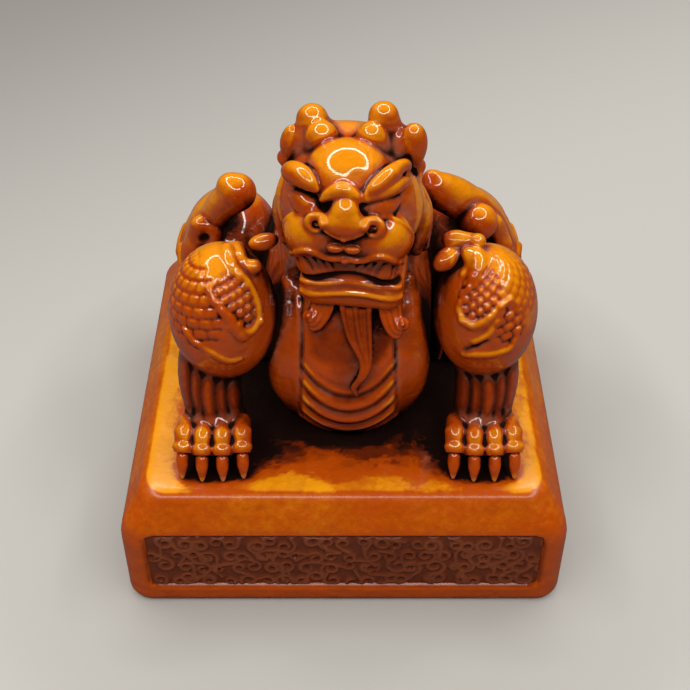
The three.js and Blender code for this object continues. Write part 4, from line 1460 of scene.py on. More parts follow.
@dataclass(frozen=True)
class Head:
    """Horned head, in a frame about the middle of the skull.

    The forms of the lower face stand a little to the right of the frame's middle, by their own asides.
    """

    turn: float = -8.0
    skull: Blob = Blob((0, 0.4, -0.4), (10.7, 8.9, 10.7))
    crest: Blob = Blob((-0.2, 4.6, 6.2), (9.8, 4.6, 4.4))
    temple: Blob = Blob((7, 3.6, 7.6), (2.6, 2.8, 4))
    mouth_shade: Blob = Blob((0, -9, -2.6), (8, 5, 3.6))
    forehead: Blob = Blob((0, -2.9, 6.2), (6.6, 6.2, 5.6), (12, 0, 0))
    frown: Stem = Stem(
        [(-2.9, -8.6, 5.9), (-1.8, -8.8, 7.1), (0.1, -8.8, 8), (1.9, -8.8, 7.2), (3, -8.6, 6)],
        [0.5, 0.9, 1.15, 0.9, 0.5],
    )
    dent: Point = (2.2, -7.4, 9.6)
    dent_depth: float = 0.3
    dent_width: float = 1.3
    socket_push: Point = (0.2, -0.6, 0.3)
    socket_radii: Widths = (0.9, 2.3, 0.9)
    eye_push: Point = (0.1, -0.5, 0.1)
    corner: Line = ((3.9, -8.2, 4.9), (2.7, -8.8, 5.4))
    muzzle_aside: float = 0.7
    muzzle: Blob = Blob((0, -5.2, -0.8), (8.4, 6.2, 5.8))
    pad: Blob = Blob((5, -7.4, -0.4), (4.5, 4.2, 4.3), (0, 12, 0))
    gum: Block = Block((0, -5.6, -4.4), (7.6, 5.4, 3), 2.4)
    nose: Stem = Stem([(-0.1, -8.9, 6.2), (0, -9.8, 5.2), (0, -10.2, 3.9)], [1.5, 2.15, 2.45])
    nose_tip: Blob = Blob((0, -10.3, 3.5), (3.5, 2.2, 1.9))
    wing: Line = (
        (2.3, -11, 3.7), (3.4, -10.4, 4.3), (4.7, -10.2, 4), (5.2, -10.5, 3.2), (4.8, -11.2, 2.4),
        (3.9, -11.5, 2.3),
    )
    nostril: Point = (4.1, -11, 3.1)
    nostril_bed: Point = (0.85, 1.2, 0.7)
    nostril_hole: Point = (0.5, 1.1, 0.4)
    nostril_stain: float = 2.0
    wing_half: Point = (1.5, 1.3, 1.2)
    wing_radii: Widths = (0.7, 0.65, 0.62, 0.6, 0.55, 0.5)
    under_nose: Line = ((2.9, -11.6, 2.6), (1.5, -12, 2.1), (0, -12.2, 1.9))
    pad_rim: Line = (
        (3.4, -9.4, 4.6), (6, -8.4, 3.8), (8.2, -7.8, 1.6), (9.1, -7, -0.8), (8.8, -7.2, -2.8),
        (8, -8.2, -4.2),
    )
    lip: Line = (
        (8.4, -8, -4.8), (7.6, -9.2, -3), (6.6, -10.2, -1.6), (5.5, -10.9, -0.9), (4.3, -11.3, -1.3),
        (3.2, -11.6, -2.2), (2.2, -11.8, -2.6), (1.1, -11.9, -2.4), (0, -11.9, -2.2),
    )
    lip_radius: float = 0.45
    philtrum: Blob = Blob((1.3, -11.7, -0.2), (1.2, 0.65, 0.6))
    hatch_count: int = 5
    gum_line: Line = ((-6.6, -10.4, -3.8), (0, -11.4, -3.6), (6.6, -10.4, -3.8))
    hatch_from: Point = (2.4, -11.2, -2.5)
    hatch_pitch: Point = (1.1, 0.42, -0.12)
    hatch_run: Point = (-0.9, 0.4, -2.3)
    jaw_aside: float = 1.5
    jaw: Block = Block((0, -5.6, -9.1), (7.9, 5.7, 3.3), 2.6)
    mouth: Line = (
        (-7.2, -8.8, -7), (-5.4, -10.6, -6.7), (-3, -11, -5.8), (-0.6, -11.2, -5.2),
        (1.6, -11.2, -5.3), (4, -11, -6.2), (6, -10.4, -6.7), (7.4, -8.6, -6.8),
    )
    mouth_radius: float = 0.42
    lower_lips: tuple[Outline, ...] = (
        ((-7.4, -7.6), (-5.6, -7.6), (-2.9, -7), (0, -6.6), (3, -6.8), (5.8, -7.4), (7.6, -7.4)),
        ((-7.4, -9.6), (-5.4, -9.4), (-2.7, -8.9), (0.2, -8.5), (3, -8.6), (5.6, -9.1), (7.7, -9.3)),
    )
    lower_lip_radius: float = 0.42
    cheek_flutes: tuple[Line, ...] = (
        ((9.8, 0.4, 5), (10.7, -1.2, 1.4), (10.2, -2.2, -3)),
        ((10.2, 2.6, 4), (11, 1.4, 0), (10.2, 0.4, -5)),
    )
    mane: tuple[Line, ...] = (
        ((9.4, 2, 1), (10.6, 2.6, -4), (10.2, 1.6, -9)),
        ((8.8, 5, 1), (10.4, 6, -5), (11, 5, -10.6)),
        ((7, 7, 2), (8.4, 8.6, -5), (9, 8.6, -11)),
    )
    flute_radii: Widths = (0.5, 0.8, 0.4)
    mane_radii: Widths = (1.5, 2.0, 1.1)
    beard_aside: float = 2.4
    beard_line: Line = (
        (-0.2, -9.6, -11), (0.1, -10.8, -13.4), (0.8, -12.2, -16.4), (2, -14, -19.8),
        (1.6, -14.9, -22), (0.4, -15.3, -24), (0.9, -15.6, -25.4),
    )
    beard_half: Widths = (2.1, 1.95, 1.6, 0.75, 0.5, 0.3, 0.1)
    beard_radii: Widths = (0.52, 0.48, 0.42, 0.34, 0.32, 0.3, 0.25)
    beard_strands: int = 5
    beard_stagger: float = 0.4
    beard_stain: float = 1.3
    curl_strands: int = 4
    curl_starts: Line = ((3.4, -9, -10.8), (4, -10.4, -13.4), (5.4, -11.4, -15.6), (6.8, -11.5, -15.9))
    curl_spread: Line = ((0.95, 0, 0), (0.9, 0.1, 0.1), (0.6, 0, 0.65), (0.15, 0.1, 0.75))
    curl_radius: float = 0.4
    curl_ball: Blob = Blob((7.1, -10.3, -14.4), (1.2, 1.15, 1.15))
    lock_stain: float = 0.8
    gum_stain: float = 0.6
    mouth_stain: float = 2.0
    cheek_dust_and_sheen: float = 0.3
    lobe_stain: float = 0.8
    eye_rub: float = 0.25
    corner_stain: float = 1.4
    socket_stain: float = 0.5
    muzzle_stain: float = 0.35
    crest_dust_and_sheen: float = 0.4

    def carve(self, base: Chisel) -> None:
        """Carves the head.

        Args:
            base: Chisel in the head's own frame, X to the right.
        """
        muzzle = base.shifted(self.muzzle_aside)
        base.join("skull", self.skull, 1.2)
        base.join("skull", self.crest, 1.2)
        base.shifted(self.jaw_aside).join("jaw", self.jaw, 0.6)
        muzzle.join("muzzle", self.gum, 0.6)
        muzzle.join("muzzle", self.muzzle, 0.8)
        base.join("forehead", self.forehead, 0.6)
        base.emboss(self.forehead, self._dented)
        # Pale dusting and painted sheen between the horns.
        base.rub(self.crest, self.crest_dust_and_sheen, 1.0)
        for side in Side:
            muzzle.mirrored(side).join("muzzle", self.pad, 0.9)
        muzzle.join("nose", self.nose, 0.6)
        muzzle.join("nose", self.nose_tip, 0.9)
        base.join("skull", self.frown, 0.35)
        # Painted shade on the lower face, which turns down and away from the lamp.
        muzzle.tint(self.mouth_shade, self.muzzle_stain, 2)
        for side, face in ((Side.LEFT, LEFT_FACE), (Side.RIGHT, RIGHT_FACE)):
            self._eye(base.mirrored(side), side, face)
            self._snout(muzzle.mirrored(side))
            self._crown(base.mirrored(side), side, face)
        self._mouth(base.shifted(self.jaw_aside))
        self._beard(base.shifted(self.beard_aside))

    def _dented(self, at: Places) -> Array:
        """Shallow rubbed dent in the forehead."""
        away = sum(np.square(a - b) for a, b in zip(at, self.dent))
        return -self.dent_depth * np.exp(-away / self.dent_width**2)

    def _eye(self, chisel: Chisel, side: Side, face: FaceSide) -> None:
        """Carves one eye and its brow.

        Args:
            chisel: What carves.
            side: Which eye.
            face: Forms of that side of the face.
        """
        pushed = [moved(place, self.socket_push) for place in face.eye.stations]
        socket, corner = Stem(pushed, self.socket_radii), Stem(self.corner, (0.45, 0.35))
        chisel.cut(socket, 0.4)
        chisel.cut(corner, 0.3)
        # Painted shade in the eye socket and its inner corner.
        chisel.tint(socket, self.socket_stain, 0.4)
        chisel.tint(corner, self.corner_stain, 0.4)
        ball = [moved(place, self.eye_push) for place in face.eye.stations]
        chisel.join(side.node("eye"), Stem(ball, face.eye.radii), 0.05)
        chisel.rub(Stem(ball, face.eye.radii), self.eye_rub, 0.2)
        for brow in face.brows:
            chisel.join(side.node("brow"), brow, 0.3)

    def _snout(self, chisel: Chisel) -> None:
        """Carves one side of the nose and the upper lip.

        Args:
            chisel: What carves.
        """
        x, y, z = self.nostril
        chisel.join("nose", Blob((x, y + 1.1, z), self.wing_half), 0.5)
        chisel.cut(Blob((x, y, z), self.nostril_bed), 0.4)
        chisel.ridge("nose", self.wing, self.wing_radii, 0.3, 0.1, False)
        chisel.cut(Blob((x, y - 0.2, z), self.nostril_hole), 0.2)
        # Painted shade in the nostril hole.
        chisel.tint(Blob((x, y, z), (0.5, 1.5, 0.4)), self.nostril_stain, 0.3)
        chisel.ridge("muzzle", self.pad_rim, 0.42, 0.35)
        chisel.ridge("muzzle", self.under_nose, 0.34, 0.3)
        chisel.join("muzzle", self.philtrum, 0.3, keep=True)
        for i in range(self.hatch_count):
            start = moved(self.hatch_from, self.hatch_pitch, i)
            chisel.groove((start, moved(start, self.hatch_run)), (0.4, 0.3), 0.2)
        chisel.ridge("upper_lip", self.lip, self.lip_radius, 0.25, 0.15, False)

    def _crown(self, chisel: Chisel, side: Side, face: FaceSide) -> None:
        """Carves one side's horn, ear, cheek and mane.

        Args:
            chisel: What carves.
            side: Which side.
            face: Its forms.
        """
        chisel.join("skull", self.temple, 1.0)
        for prong in face.horns:
            chisel.join(side.node("horn"), prong, 0.6)
        chisel.join(side.node("ear"), face.ear, 0.3)
        chisel.join(side.node("ear"), face.lobe, 0.25)
        chisel.tint(face.lobe, self.lobe_stain, 0.4)
        for line in self.cheek_flutes:
            chisel.ridge("skull", line, self.flute_radii, 0.6)
            # Pale dusting and painted sheen on the cheek flutes.
            chisel.rub(Stem(line, 1.2), self.cheek_dust_and_sheen, 1.2)
        for line in self.mane:
            chisel.join(side.node("mane"), Stem(line, self.mane_radii), 0.6)

    def _mouth(self, chisel: Chisel) -> None:
        """Carves the gap of the mouth and the folds of the lower lip.

        Args:
            chisel: What carves.
        """
        chisel.groove(self.mouth, self.mouth_radius, 0.25)
        # Painted shade in the gap of the mouth.
        chisel.tint(Stem(self.mouth, 0.5), self.mouth_stain, 0.4)
        chisel.tint(Stem(self.gum_line, 1.2), self.gum_stain, 1.2)
        front = self.jaw.centre[1] - self.jaw.half[1]
        for line in self.lower_lips:
            stations = [(x, front + 0.02 * x * x, z) for x, z in line]
            chisel.ridge("jaw", stations, self.lower_lip_radius, 0.5, 0.1)

    def _beard(self, base: Chisel) -> None:
        """Carves the strands under the jaw and the curl on each side of them.

        Args:
            base: Chisel in the beard's own frame, X to the right.
        """
        for side in Side:
            chisel, curl = base.mirrored(side), side.node("beard_curl")
            for i in range(self.curl_strands):
                strand = [moved(start, step, i) for start, step in zip(self.curl_starts, self.curl_spread)]
                lock = Stem([*strand, self.curl_ball.centre], self.curl_radius)
                chisel.join(curl, lock, 0.05)
                chisel.tint(lock, self.lock_stain, 0.5)
            chisel.join(curl, self.curl_ball, 0.15)
        for i in range(self.beard_strands):
            place = 2 * i / (self.beard_strands - 1) - 1
            steps = [(place * half, self.beard_stagger * (i % 2), 0) for half in self.beard_half]
            strand = Stem([moved(*pair) for pair in zip(self.beard_line, steps)], self.beard_radii)
            base.join("beard", strand, 0.03)
            # The strands darken: staining, and painted shade under the jaw.
            base.tint(strand, self.beard_stain, 0.6)


class Beast:
    """The whole knob, carved in millimetres about the middle of the plinth's top."""

    MARGIN = 1.2
    SUNK = 0.25
    FINE_STEP = 0.22
    QUICK_STEP = 0.4

    def __init__(self) -> None:
        """Reads the beast's place from the frame and carves it."""
        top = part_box("plinth")[1].z / MM
        torso_low, torso_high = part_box("torso")
        aside = (torso_low.x + torso_high.x) / 2 / MM
        self.origin = np.array([aside, 0, top])
        names = [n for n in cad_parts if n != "plinth" and not n.startswith("frieze")]
        low = np.min([np.array(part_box(n)[0]) for n in names], axis=0) / MM - self.origin
        high = np.max([np.array(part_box(n)[1]) for n in names], axis=0) / MM - self.origin
        low[2] = -self.SUNK
        step = self.FINE_STEP
        self.volume = Volume(low - self.MARGIN, high + self.MARGIN, step)
        self._carve()
        self.skin = Skin(self.volume, self.origin)
        LOG.info("skin: %d faces", len(self.skin.faces))

    def _carve(self) -> None:
        """Carves every form."""
        base = Chisel(self.volume)
        Trunk().carve(base)
        cuts = {Side.LEFT: (LEFT_SHOULDER, LEFT_HAUNCH), Side.RIGHT: (RIGHT_SHOULDER, RIGHT_HAUNCH)}
        for side, (shoulder, haunch) in cuts.items():
            chisel = base.mirrored(side)
            Hindquarter(side, haunch).carve(chisel)
            Forequarter(side, shoulder).carve(chisel)
        Tail().carve(base)
        skull_low, skull_high = (np.array(end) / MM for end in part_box("skull"))
        middle = (skull_low + skull_high) / 2 - self.origin
        head = Head()
        head.carve(Chisel(self.volume, tuple(middle), head.turn))
        below = -self.SUNK - self.volume.axes[2]
        np.maximum(self.volume.value, below.astype(np.float32), out=self.volume.value)
        self.volume.soften()

    def pieces(self) -> Iterable[Object]:
        """Every piece, each standing for its node."""
        for name in self.volume.names:
            yield self.skin.piece(name)


class Graph:
    """Node tree of one material.

    Args:
        material: The material to fill.
    """

    def __init__(self, material: Material) -> None:
        """Empties the material's tree."""
        material.use_nodes = True
        self.tree = material.node_tree
        self.tree.nodes.clear()

    def node(self, kind: str, settings: Settings, inputs: Settings) -> Node:
        """New node.

        Args:
            kind: Node type.
            settings: Properties, set before the sockets.
            inputs: Socket values or links by socket name or number.

        Returns:
            The node.
        """
        made = self.tree.nodes.new(kind)
        for name, value in settings.items():
            setattr(made, name, value)
        for name, value in inputs.items():
            socket = made.inputs[name]
            if isinstance(value, Value):
                self.tree.links.new(value.socket, socket)
            else:
                socket.default_value = value
        return made

    def value(self, kind: str, settings: Settings, inputs: Settings, output: Union[str, int] = 0) -> "Value":
        """One output of a new node."""
        return Value(self, self.node(kind, settings, inputs).outputs[output])

    def surface(self, inputs: Settings) -> None:
        """Principled shader, shown by the material."""
        shader = self.value("ShaderNodeBsdfPrincipled", {}, inputs)
        self.node("ShaderNodeOutputMaterial", {}, {"Surface": shader})

    def place(self) -> "Value":
        """Place on the object in metres."""
        return self.value("ShaderNodeTexCoord", {}, {}, "Object")

    def along(self, place: "Value", axis: int) -> "Value":
        """One part of a place: 0 across, 1 deep or 2 up."""
        return self.value("ShaderNodeSeparateXYZ", {}, {0: place}, axis)

    def attribute(self, name: str) -> "Value":
        """A shade of the mesh."""
        return self.value("ShaderNodeAttribute", {"attribute_name": name}, {}, "Fac")

    def noise(self, place: "Value", scale: float, detail: float = 2.0, roughness: float = 0.5) -> "Value":
        """Cloudy noise from 0 to 1."""
        inputs = {"Vector": place, "Scale": scale, "Detail": detail, "Roughness": roughness}
        return self.value("ShaderNodeTexNoise", {}, inputs, "Fac")

    def mix(self, factor: "Value", low: "Tint", high: "Tint") -> "Value":
        """Colour between two by a factor."""
        inputs = {0: factor, 6: rgba(low), 7: rgba(high)}
        return self.value("ShaderNodeMix", {"data_type": "RGBA", "clamp_factor": True}, inputs, 2)


def operator(operation: str, swapped: bool = False) -> Callable[["Value", "Number"], "Value"]:
    """Method of a value that makes a Math node.

    Args:
        operation: What the node does.
        swapped: Whether the other value comes first, as in a reflected operator.

    Returns:
        The method.
    """

    def apply(self: "Value", other: "Number") -> "Value":
        """Math node on this value and another."""
        terms = (other, self) if swapped else (self, other)
        return self.graph.value("ShaderNodeMath", {"operation": operation}, dict(enumerate(terms)))

    return apply


class Value:
    """One socket of a node tree, with arithmetic."""

    def __init__(self, graph: Graph, socket: NodeSocket) -> None:
        """Wraps a socket."""
        self.graph, self.socket = graph, socket

    __add__ = __radd__ = operator("ADD")
    __mul__ = __rmul__ = operator("MULTIPLY")
    __sub__, __rsub__ = operator("SUBTRACT"), operator("SUBTRACT", True)
    __truediv__, __rtruediv__ = operator("DIVIDE"), operator("DIVIDE", True)
    power, most = operator("POWER"), operator("MAXIMUM")

    def ease(self, low: float, high: float) -> "Value":
        """Eased rise from 0 at low to 1 at high."""
        inputs = {"Value": self, "From Min": low, "From Max": high}
        return self.graph.value("ShaderNodeMapRange", {"interpolation_type": "SMOOTHSTEP"}, inputs)


Number = Union[float, Value]
Tint = Union[Colour, Value]


def rgba(tint: Tint) -> Union[Value, tuple[float, ...]]:
    """A link as it is, or a colour with alpha."""
    return tint if isinstance(tint, Value) else (*tint, 1.0)


# Pale mauve over hollows: a dusting, and painted sheen of the pale room seen at grazing angles.
DUST_AND_SHEEN: Colour = (0.36, 0.17, 0.11)


@dataclass(frozen=True)
class Ramp:
    """How a value counts: nothing at one end, its whole weight at the other.

    Args:
        low: Where it starts to count.
        high: Where it counts in full.
        weight: How much it then counts.
    """

    low: float
    high: float
    weight: float = 1.0

    def of(self, value: Value) -> Value:
        """What a value counts."""
        return value.ease(self.low, self.high) * self.weight


@dataclass(frozen=True)
class StoneFinish:
    """Polished stained stone, with painted light and shade in its colour.

    Args:
        slot: Material slot of the record.
        bright: Colour of polished high places open to the lamp above: painted light.
        body: Colour of plain faces.
        deep: Colour of hollows and of faces turned from the lamp: painted shade.
        black: Colour of the deepest cuts: painted shade.
        gloss: Roughness of the wax.
        coat: Weight of the wax.
        mottle: How much the stone's own clouds show.
        patch: How many of those clouds stand in a metre.
        fall: How much darker the stone is near its foot.
        dust_and_sheen: How much pale dusting and painted sheen settle in the hollows.
    """

    slot: str
    bright: Colour
    body: Colour
    deep: Colour
    black: Colour
    gloss: float = 0.07
    coat: float = 1.0
    mottle: float = 0.3
    patch: float = 75.0
    fall: float = 0.0
    dust_and_sheen: float = 0.0

    # Weights of the painted shade from the open and shut shades and from creases and hollows.
    OPEN_POWER = 0.65
    OPEN_WEIGHT = 0.84
    STAIN_AND_SHADE_WEIGHT = 0.6
    GRAIN_WEIGHT = 0.2
    GRAIN_SCALE = 900
    FILM_SCALE = 230
    WAVE_SCALES = (190, 520)
    BUMP_STRENGTH = 0.8
    BUMP_DEPTH = 0.0004
    WAX_INDEX = 1.5
    STONE_SHINE = 0.06
    SHUT = Ramp(0.25, 0.95, 0.8)
    CREASE = Ramp(0.51, 0.64, 0.6)
    HOLLOW = Ramp(0.5, 0.72, 0.4)
    FOOT = Ramp(0.022, 0.05)
    RIDGE = Ramp(0, 0.07, 0.18)
    TIP = Ramp(0, 0.1, 0.2)
    WORN = Ramp(-0.5, -0.34, 0.12)
    TO_BODY = Ramp(0.08, 0.45)
    TO_DEEP = Ramp(0.5, 1.0)
    TO_BLACK = Ramp(0.9, 1.4)
    TO_DULL = Ramp(0.8, 1.3)
    FILM = Ramp(0.4, 0.64)
    SHELTER = Ramp(0.46, 0.56)
    BURIED = Ramp(0.3, 0.6)
    DUST_AND_SHEEN_RUB = Ramp(0.05, 0.5, 0.8)

    def material(self) -> Material:
        """Builds the material.

        Returns:
            The material.
        """
        made = bpy.data.materials.new(self.slot + "_look")
        graph = Graph(made)
        place = graph.place()
        grain = graph.noise(place, self.GRAIN_SCALE, 4, 0.6)
        sunk = self._sunk(graph, place, grain)
        film = self.FILM.of(graph.noise(place, self.FILM_SCALE, 5, 0.65))
        dull = self.TO_DULL.of(sunk)
        broad, fine = self.WAVE_SCALES
        height = graph.noise(place, broad, 2) * 2 + graph.noise(place, fine, 3) + grain * 0.25
        bump = {"Strength": self.BUMP_STRENGTH, "Distance": self.BUMP_DEPTH, "Height": height}
        inputs = {
            "Base Color": self._colour(graph, sunk, film),
            "Roughness": 0.3 + film * 0.2 + dull * 0.4 + (grain - 0.5) * 0.1,
            "Normal": graph.value("ShaderNodeBump", {}, bump),
            "Coat Weight": (1 - film * 0.2) * (1 - dull) * self.coat,
            "Coat Roughness": self.gloss,
            "Coat IOR": self.WAX_INDEX,
            "Specular IOR Level": self.STONE_SHINE,
        }
        graph.surface(inputs)
        return made

    def _sunk(self, graph: Graph, place: Value, grain: Value) -> Value:
        """How deep the stone sits in painted shade and staining.

        Args:
            graph: The material's nodes.
            place: Place on the object.
            grain: Fine noise.

        Returns:
            About 0 on open high places and above 1 in the deepest cuts.
        """
        hollow = graph.attribute("hollow")
        # Painted shade: less light from above, and other stone in the way, darken the colour.
        dim = (1 - graph.attribute("open")).most(0).power(self.OPEN_POWER)
        sunk = dim * self.OPEN_WEIGHT + self.SHUT.of(graph.attribute("shut"))
        # Creases and hollows darken: painted shade, and patina.
        sunk = sunk + self.CREASE.of(graph.attribute("crease")) + self.HOLLOW.of(hollow)
        # Staining, and painted shade laid by the chisel in recesses, gaps and under overhangs.
        sunk = sunk + graph.attribute("stain") * self.STAIN_AND_SHADE_WEIGHT
        sunk = sunk + (1 - self.FOOT.of(graph.along(place, 2))) * self.fall
        sunk = sunk + (graph.noise(place, self.patch, 4, 0.6) - 0.5) * self.mottle
        sunk = sunk + (grain - 0.5) * self.GRAIN_WEIGHT
        return sunk - self.RIDGE.of(0.5 - hollow) + self.TIP.of(0.42 - hollow)

    def _colour(self, graph: Graph, sunk: Value, film: Value) -> Value:
        """Colour of the stone.

        Args:
            graph: The material's nodes.
            sunk: How deep the stone sits in painted shade and staining.
            film: Where the film of dusting and painted sheen holds.

        Returns:
            The colour, from painted light to painted shade, with a pale dusting and painted sheen over it.
        """
        hollow, shut = graph.attribute("hollow"), graph.attribute("shut")
        shown = sunk - self.WORN.of(graph.attribute("crease") * -1)
        # Painted light and shade: bright where open to the lamp, deep and black where shaded.
        colour = graph.mix(self.TO_BODY.of(shown), self.bright, self.body)
        colour = graph.mix(self.TO_DEEP.of(shown), colour, self.deep)
        # Pale dusting and painted sheen in sheltered hollows and where the darkening was taken below none.
        dust_and_sheen_share = self.SHELTER.of(hollow) * self.dust_and_sheen * (1 - self.BURIED.of(shut))
        dust_and_sheen_share = dust_and_sheen_share + self.DUST_AND_SHEEN_RUB.of(graph.attribute("stain") * -1)
        colour = graph.mix(film * dust_and_sheen_share, colour, DUST_AND_SHEEN)
        return graph.mix(self.TO_BLACK.of(sunk), colour, self.black)


# In each finish, bright is painted light, and deep and black are painted shade.
CARVED = StoneFinish(
    slot="carved_stone",
    bright=(0.74, 0.24, 0.001),
    body=(0.44, 0.055, 0.001),
    deep=(0.16, 0.016, 0.001),
    black=(0.012, 0.003, 0.001),
    mottle=0.4,
    fall=0.08,
    dust_and_sheen=0.35,
)
AMBER = StoneFinish(
    slot="amber_stone",
    bright=(0.82, 0.31, 0.004),
    body=(0.46, 0.065, 0.001),
    deep=(0.2, 0.022, 0.001),
    black=(0.01, 0.003, 0.002),
    gloss=0.2,
    coat=0.5,
    mottle=0.38,
    patch=35.0,
)
TINTED = StoneFinish(
    slot="tinted_frieze",
    bright=(0.24, 0.056, 0.018),
    body=(0.145, 0.028, 0.009),
    deep=(0.1, 0.018, 0.006),
    black=(0.04, 0.008, 0.004),
    gloss=0.3,
    coat=0.4,
    mottle=0.4,
)


@dataclass
class Plinth:
    """Square block with a bevelled top and a recess for each frieze.

    Args:
        skin: The beast's skin, for the painted shadow round its feet.
    """

    skin: Skin
    corner_radius: float = 4.0
    corner_steps: int = 10
    side_step: float = 0.6
    rise_step: float = 0.4
    chamfer: float = 0.8
    bevel_run: float = 4.0
    bevel_rise: float = 6.1
    rounding: float = 0.9
    foot_rounding: float = 0.6
    shoulder_rounding: float = 1.6
    hub_radius: float = 0.6
    sharp_angle: float = 40.0
    recess_depth: float = 1.2
    recess_gap: float = 0.3
    recess_corner: float = 1.5
    # ledge_stain darkens the recess ledge; the numbers after it shape the painted shadow and shade of the
    # top, which fade over a lit band along its edge and on its left and right.
    ledge_stain: float = 0.5
    side_light: Span = (0.53, 0.72)
    shadow_depth: float = 2.9
    shadow_clear: float = 0.08
    shadow_power: float = 0.75
    lit_band: float = 7.0
    edge_lightening: float = 0.15
    top_shade: float = 0.42
    side_unshaded: float = 28.0
    side_lightening: float = 0.5

    def __post_init__(self) -> None:
        """Reads the block's sizes from the frame."""
        low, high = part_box("plinth")
        self.half = (high.x - low.x) / 2 / MM
        self.height = high.z / MM
        panel_low, panel_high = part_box("frieze_front")
        self.panel_low = np.array(panel_low) / MM
        self.panel_high = np.array(panel_high) / MM

    def _profile(self) -> Array:
        """Half width and height from the foot's edge to the middle of the top.

        Returns:
            One point a row.
        """
        foot = [(self.half - self.chamfer, 0.0), (self.half, self.chamfer)]
        shoulder = self.height - self.bevel_rise
        ridge = self.half - self.bevel_run
        corners = [*foot, (self.half, shoulder), (ridge, self.height), (self.hub_radius, self.height)]
        radii = (self.foot_rounding, self.shoulder_rounding, self.rounding)
        points = [np.array(corners[0])]
        for before, at, after, radius in zip(corners, corners[1:], corners[2:], radii):
            to_before = np.subtract(before, at) / np.linalg.norm(np.subtract(before, at))
            to_after = np.subtract(after, at) / np.linalg.norm(np.subtract(after, at))
            for share in np.linspace(0, 1, 7):
                pull = (1 - share) ** 2 * to_before + share**2 * to_after
                points.append(np.array(at) + radius * 1.6 * pull)
        points.append(np.array(corners[-1]))
        fine = [points[0]]
        for a, b in zip(points, points[1:]):
            steps = max(1, int(np.linalg.norm(b - a) / self.rise_step))
            fine.extend(a + (b - a) * (i + 1) / steps for i in range(steps))
        return np.array(fine)

    def _ring(self, half: float) -> Array:
        """Rounded square with the same points whatever its size.

        Args:
            half: Half width of the square.

        Returns:
            X and Y, one point a row.
        """
        radius = min(self.corner_radius, 0.6 * half)
        inset = half - radius
        steps = int(2 * (self.half - self.corner_radius) / self.side_step)
        turn = np.linspace(0, math.pi / 2, self.corner_steps + 1)
        turn = turn - math.pi / 2
        arc = np.column_stack([inset + radius * np.cos(turn), radius * np.sin(turn) - inset])
        edge = np.column_stack([np.full(steps - 1, half), np.linspace(-inset, inset, steps + 1)[1:-1]])
        quarter = np.vstack([arc, edge])
        right_angle = np.array([[0, -1], [1, 0]])
        return np.vstack([quarter @ np.linalg.matrix_power(right_angle, n).T for n in range(4)])

    def piece(self) -> Object:
        """Builds the block.

        Returns:
            The piece.
        """
        profile = self._profile()
        rings = [np.column_stack([self._ring(h), np.full(len(self._ring(h)), z)]) for h, z in profile]
        points = np.vstack(rings)
        points = points + self._inward(points) * self._recess(points)[:, None]
        spots = np.vstack([points, (0, 0, profile[0][1]), (0, 0, profile[-1][1])])
        count, hub = len(rings[0]), len(points)
        index = np.arange(count)
        after = (index + 1) % count
        wall = np.column_stack([index, after, after + count, index + count])
        faces = np.vstack([wall + level * count for level in range(len(rings) - 1)]).tolist()
        last = hub - count
        faces += np.column_stack([after, index, np.full(count, hub)]).tolist()
        faces += np.column_stack([index + last, after + last, np.full(count, hub + 1)]).tolist()
        mesh = smooth_mesh("plinth_block", spots, faces)
        mesh.set_sharp_from_angle(angle=math.radians(self.sharp_angle))
        self._shade(mesh, spots)
        return stand_in(mesh, "plinth")

    def _inward(self, points: Array) -> Array:
        """Direction into the block from each of its four sides.

        Args:
            points: Points of the block.

        Returns:
            One direction for each.
        """
        wide = np.abs(points[:, 0]) > np.abs(points[:, 1])
        inward = np.zeros_like(points)
        inward[wide, 0] = -np.sign(points[wide, 0])
        inward[~wide, 1] = -np.sign(points[~wide, 1])
        return inward

    def _recess(self, points: Array) -> Array:
        """Depth of the frieze recesses at points of the sides.

        Args:
            points: Points of the block.

        Returns:
            Millimetres for each.
        """
        along = np.where(np.abs(points[:, 0]) > np.abs(points[:, 1]), points[:, 1], points[:, 0])
        out = np.maximum(np.abs(points[:, 0]), np.abs(points[:, 1]))
        half_long, _, half_high = (self.panel_high - self.panel_low) / 2 + self.recess_gap
        middle = (self.panel_high[2] + self.panel_low[2]) / 2
        dx = np.maximum(np.abs(along) - (half_long - self.recess_corner), 0)
        dz = np.maximum(np.abs(points[:, 2] - middle) - (half_high - self.recess_corner), 0)
        edge = np.hypot(dx, dz) - self.recess_corner
        return self.recess_depth * smoothstep(0.1, -0.5, edge) * (out > self.half - 0.5)

    def _shade(self, mesh: Mesh, spots: Array) -> None:
        """Writes the shades of the stone, with painted shade on the sides and painted shadow on the top.

        Args:
            mesh: The block's mesh.
            spots: Its points in millimetres.
        """
        local = spots - self.skin.origin
        on_top = spots[:, 2] > self.height - 0.2
        read = local + np.array([0, 0, 0.3])
        up = np.tile(np.array([0.0, 0.0, 1.0]), (len(spots), 1))
        shoulder = self.height - self.bevel_rise
        # Painted shade on the upright sides, lighter on the bevel that faces the lamp.
        slope = np.interp(spots[:, 2], (shoulder - 1, shoulder + 1), self.side_light)
        shades = {name: np.where(on_top, self.skin.hollow(name, read), 0.5) for name in ("crease", "hollow")}
        lit, shut = self.skin.volume.openness(local, up)
        reach = np.abs(spots[:, :2]).max(axis=1)
        # The painted shade and shadow of the top fade towards its edge and its left and right sides.
        inner = smoothstep(0.5, self.lit_band, reach[on_top].max() - reach)
        beside = smoothstep(self.side_unshaded - 4, self.side_unshaded, np.abs(spots[:, 0]))
        painted_shade_share = (1 - self.edge_lightening + self.edge_lightening * inner) * (1 - self.side_lightening * beside)
        # Painted shade on the top where the beast hides light from above.
        shades["open"] = np.where(on_top, 1 - self.top_shade * (1 - lit) * painted_shade_share, slope)
        shades["shut"] = np.where(on_top, shut, 0)
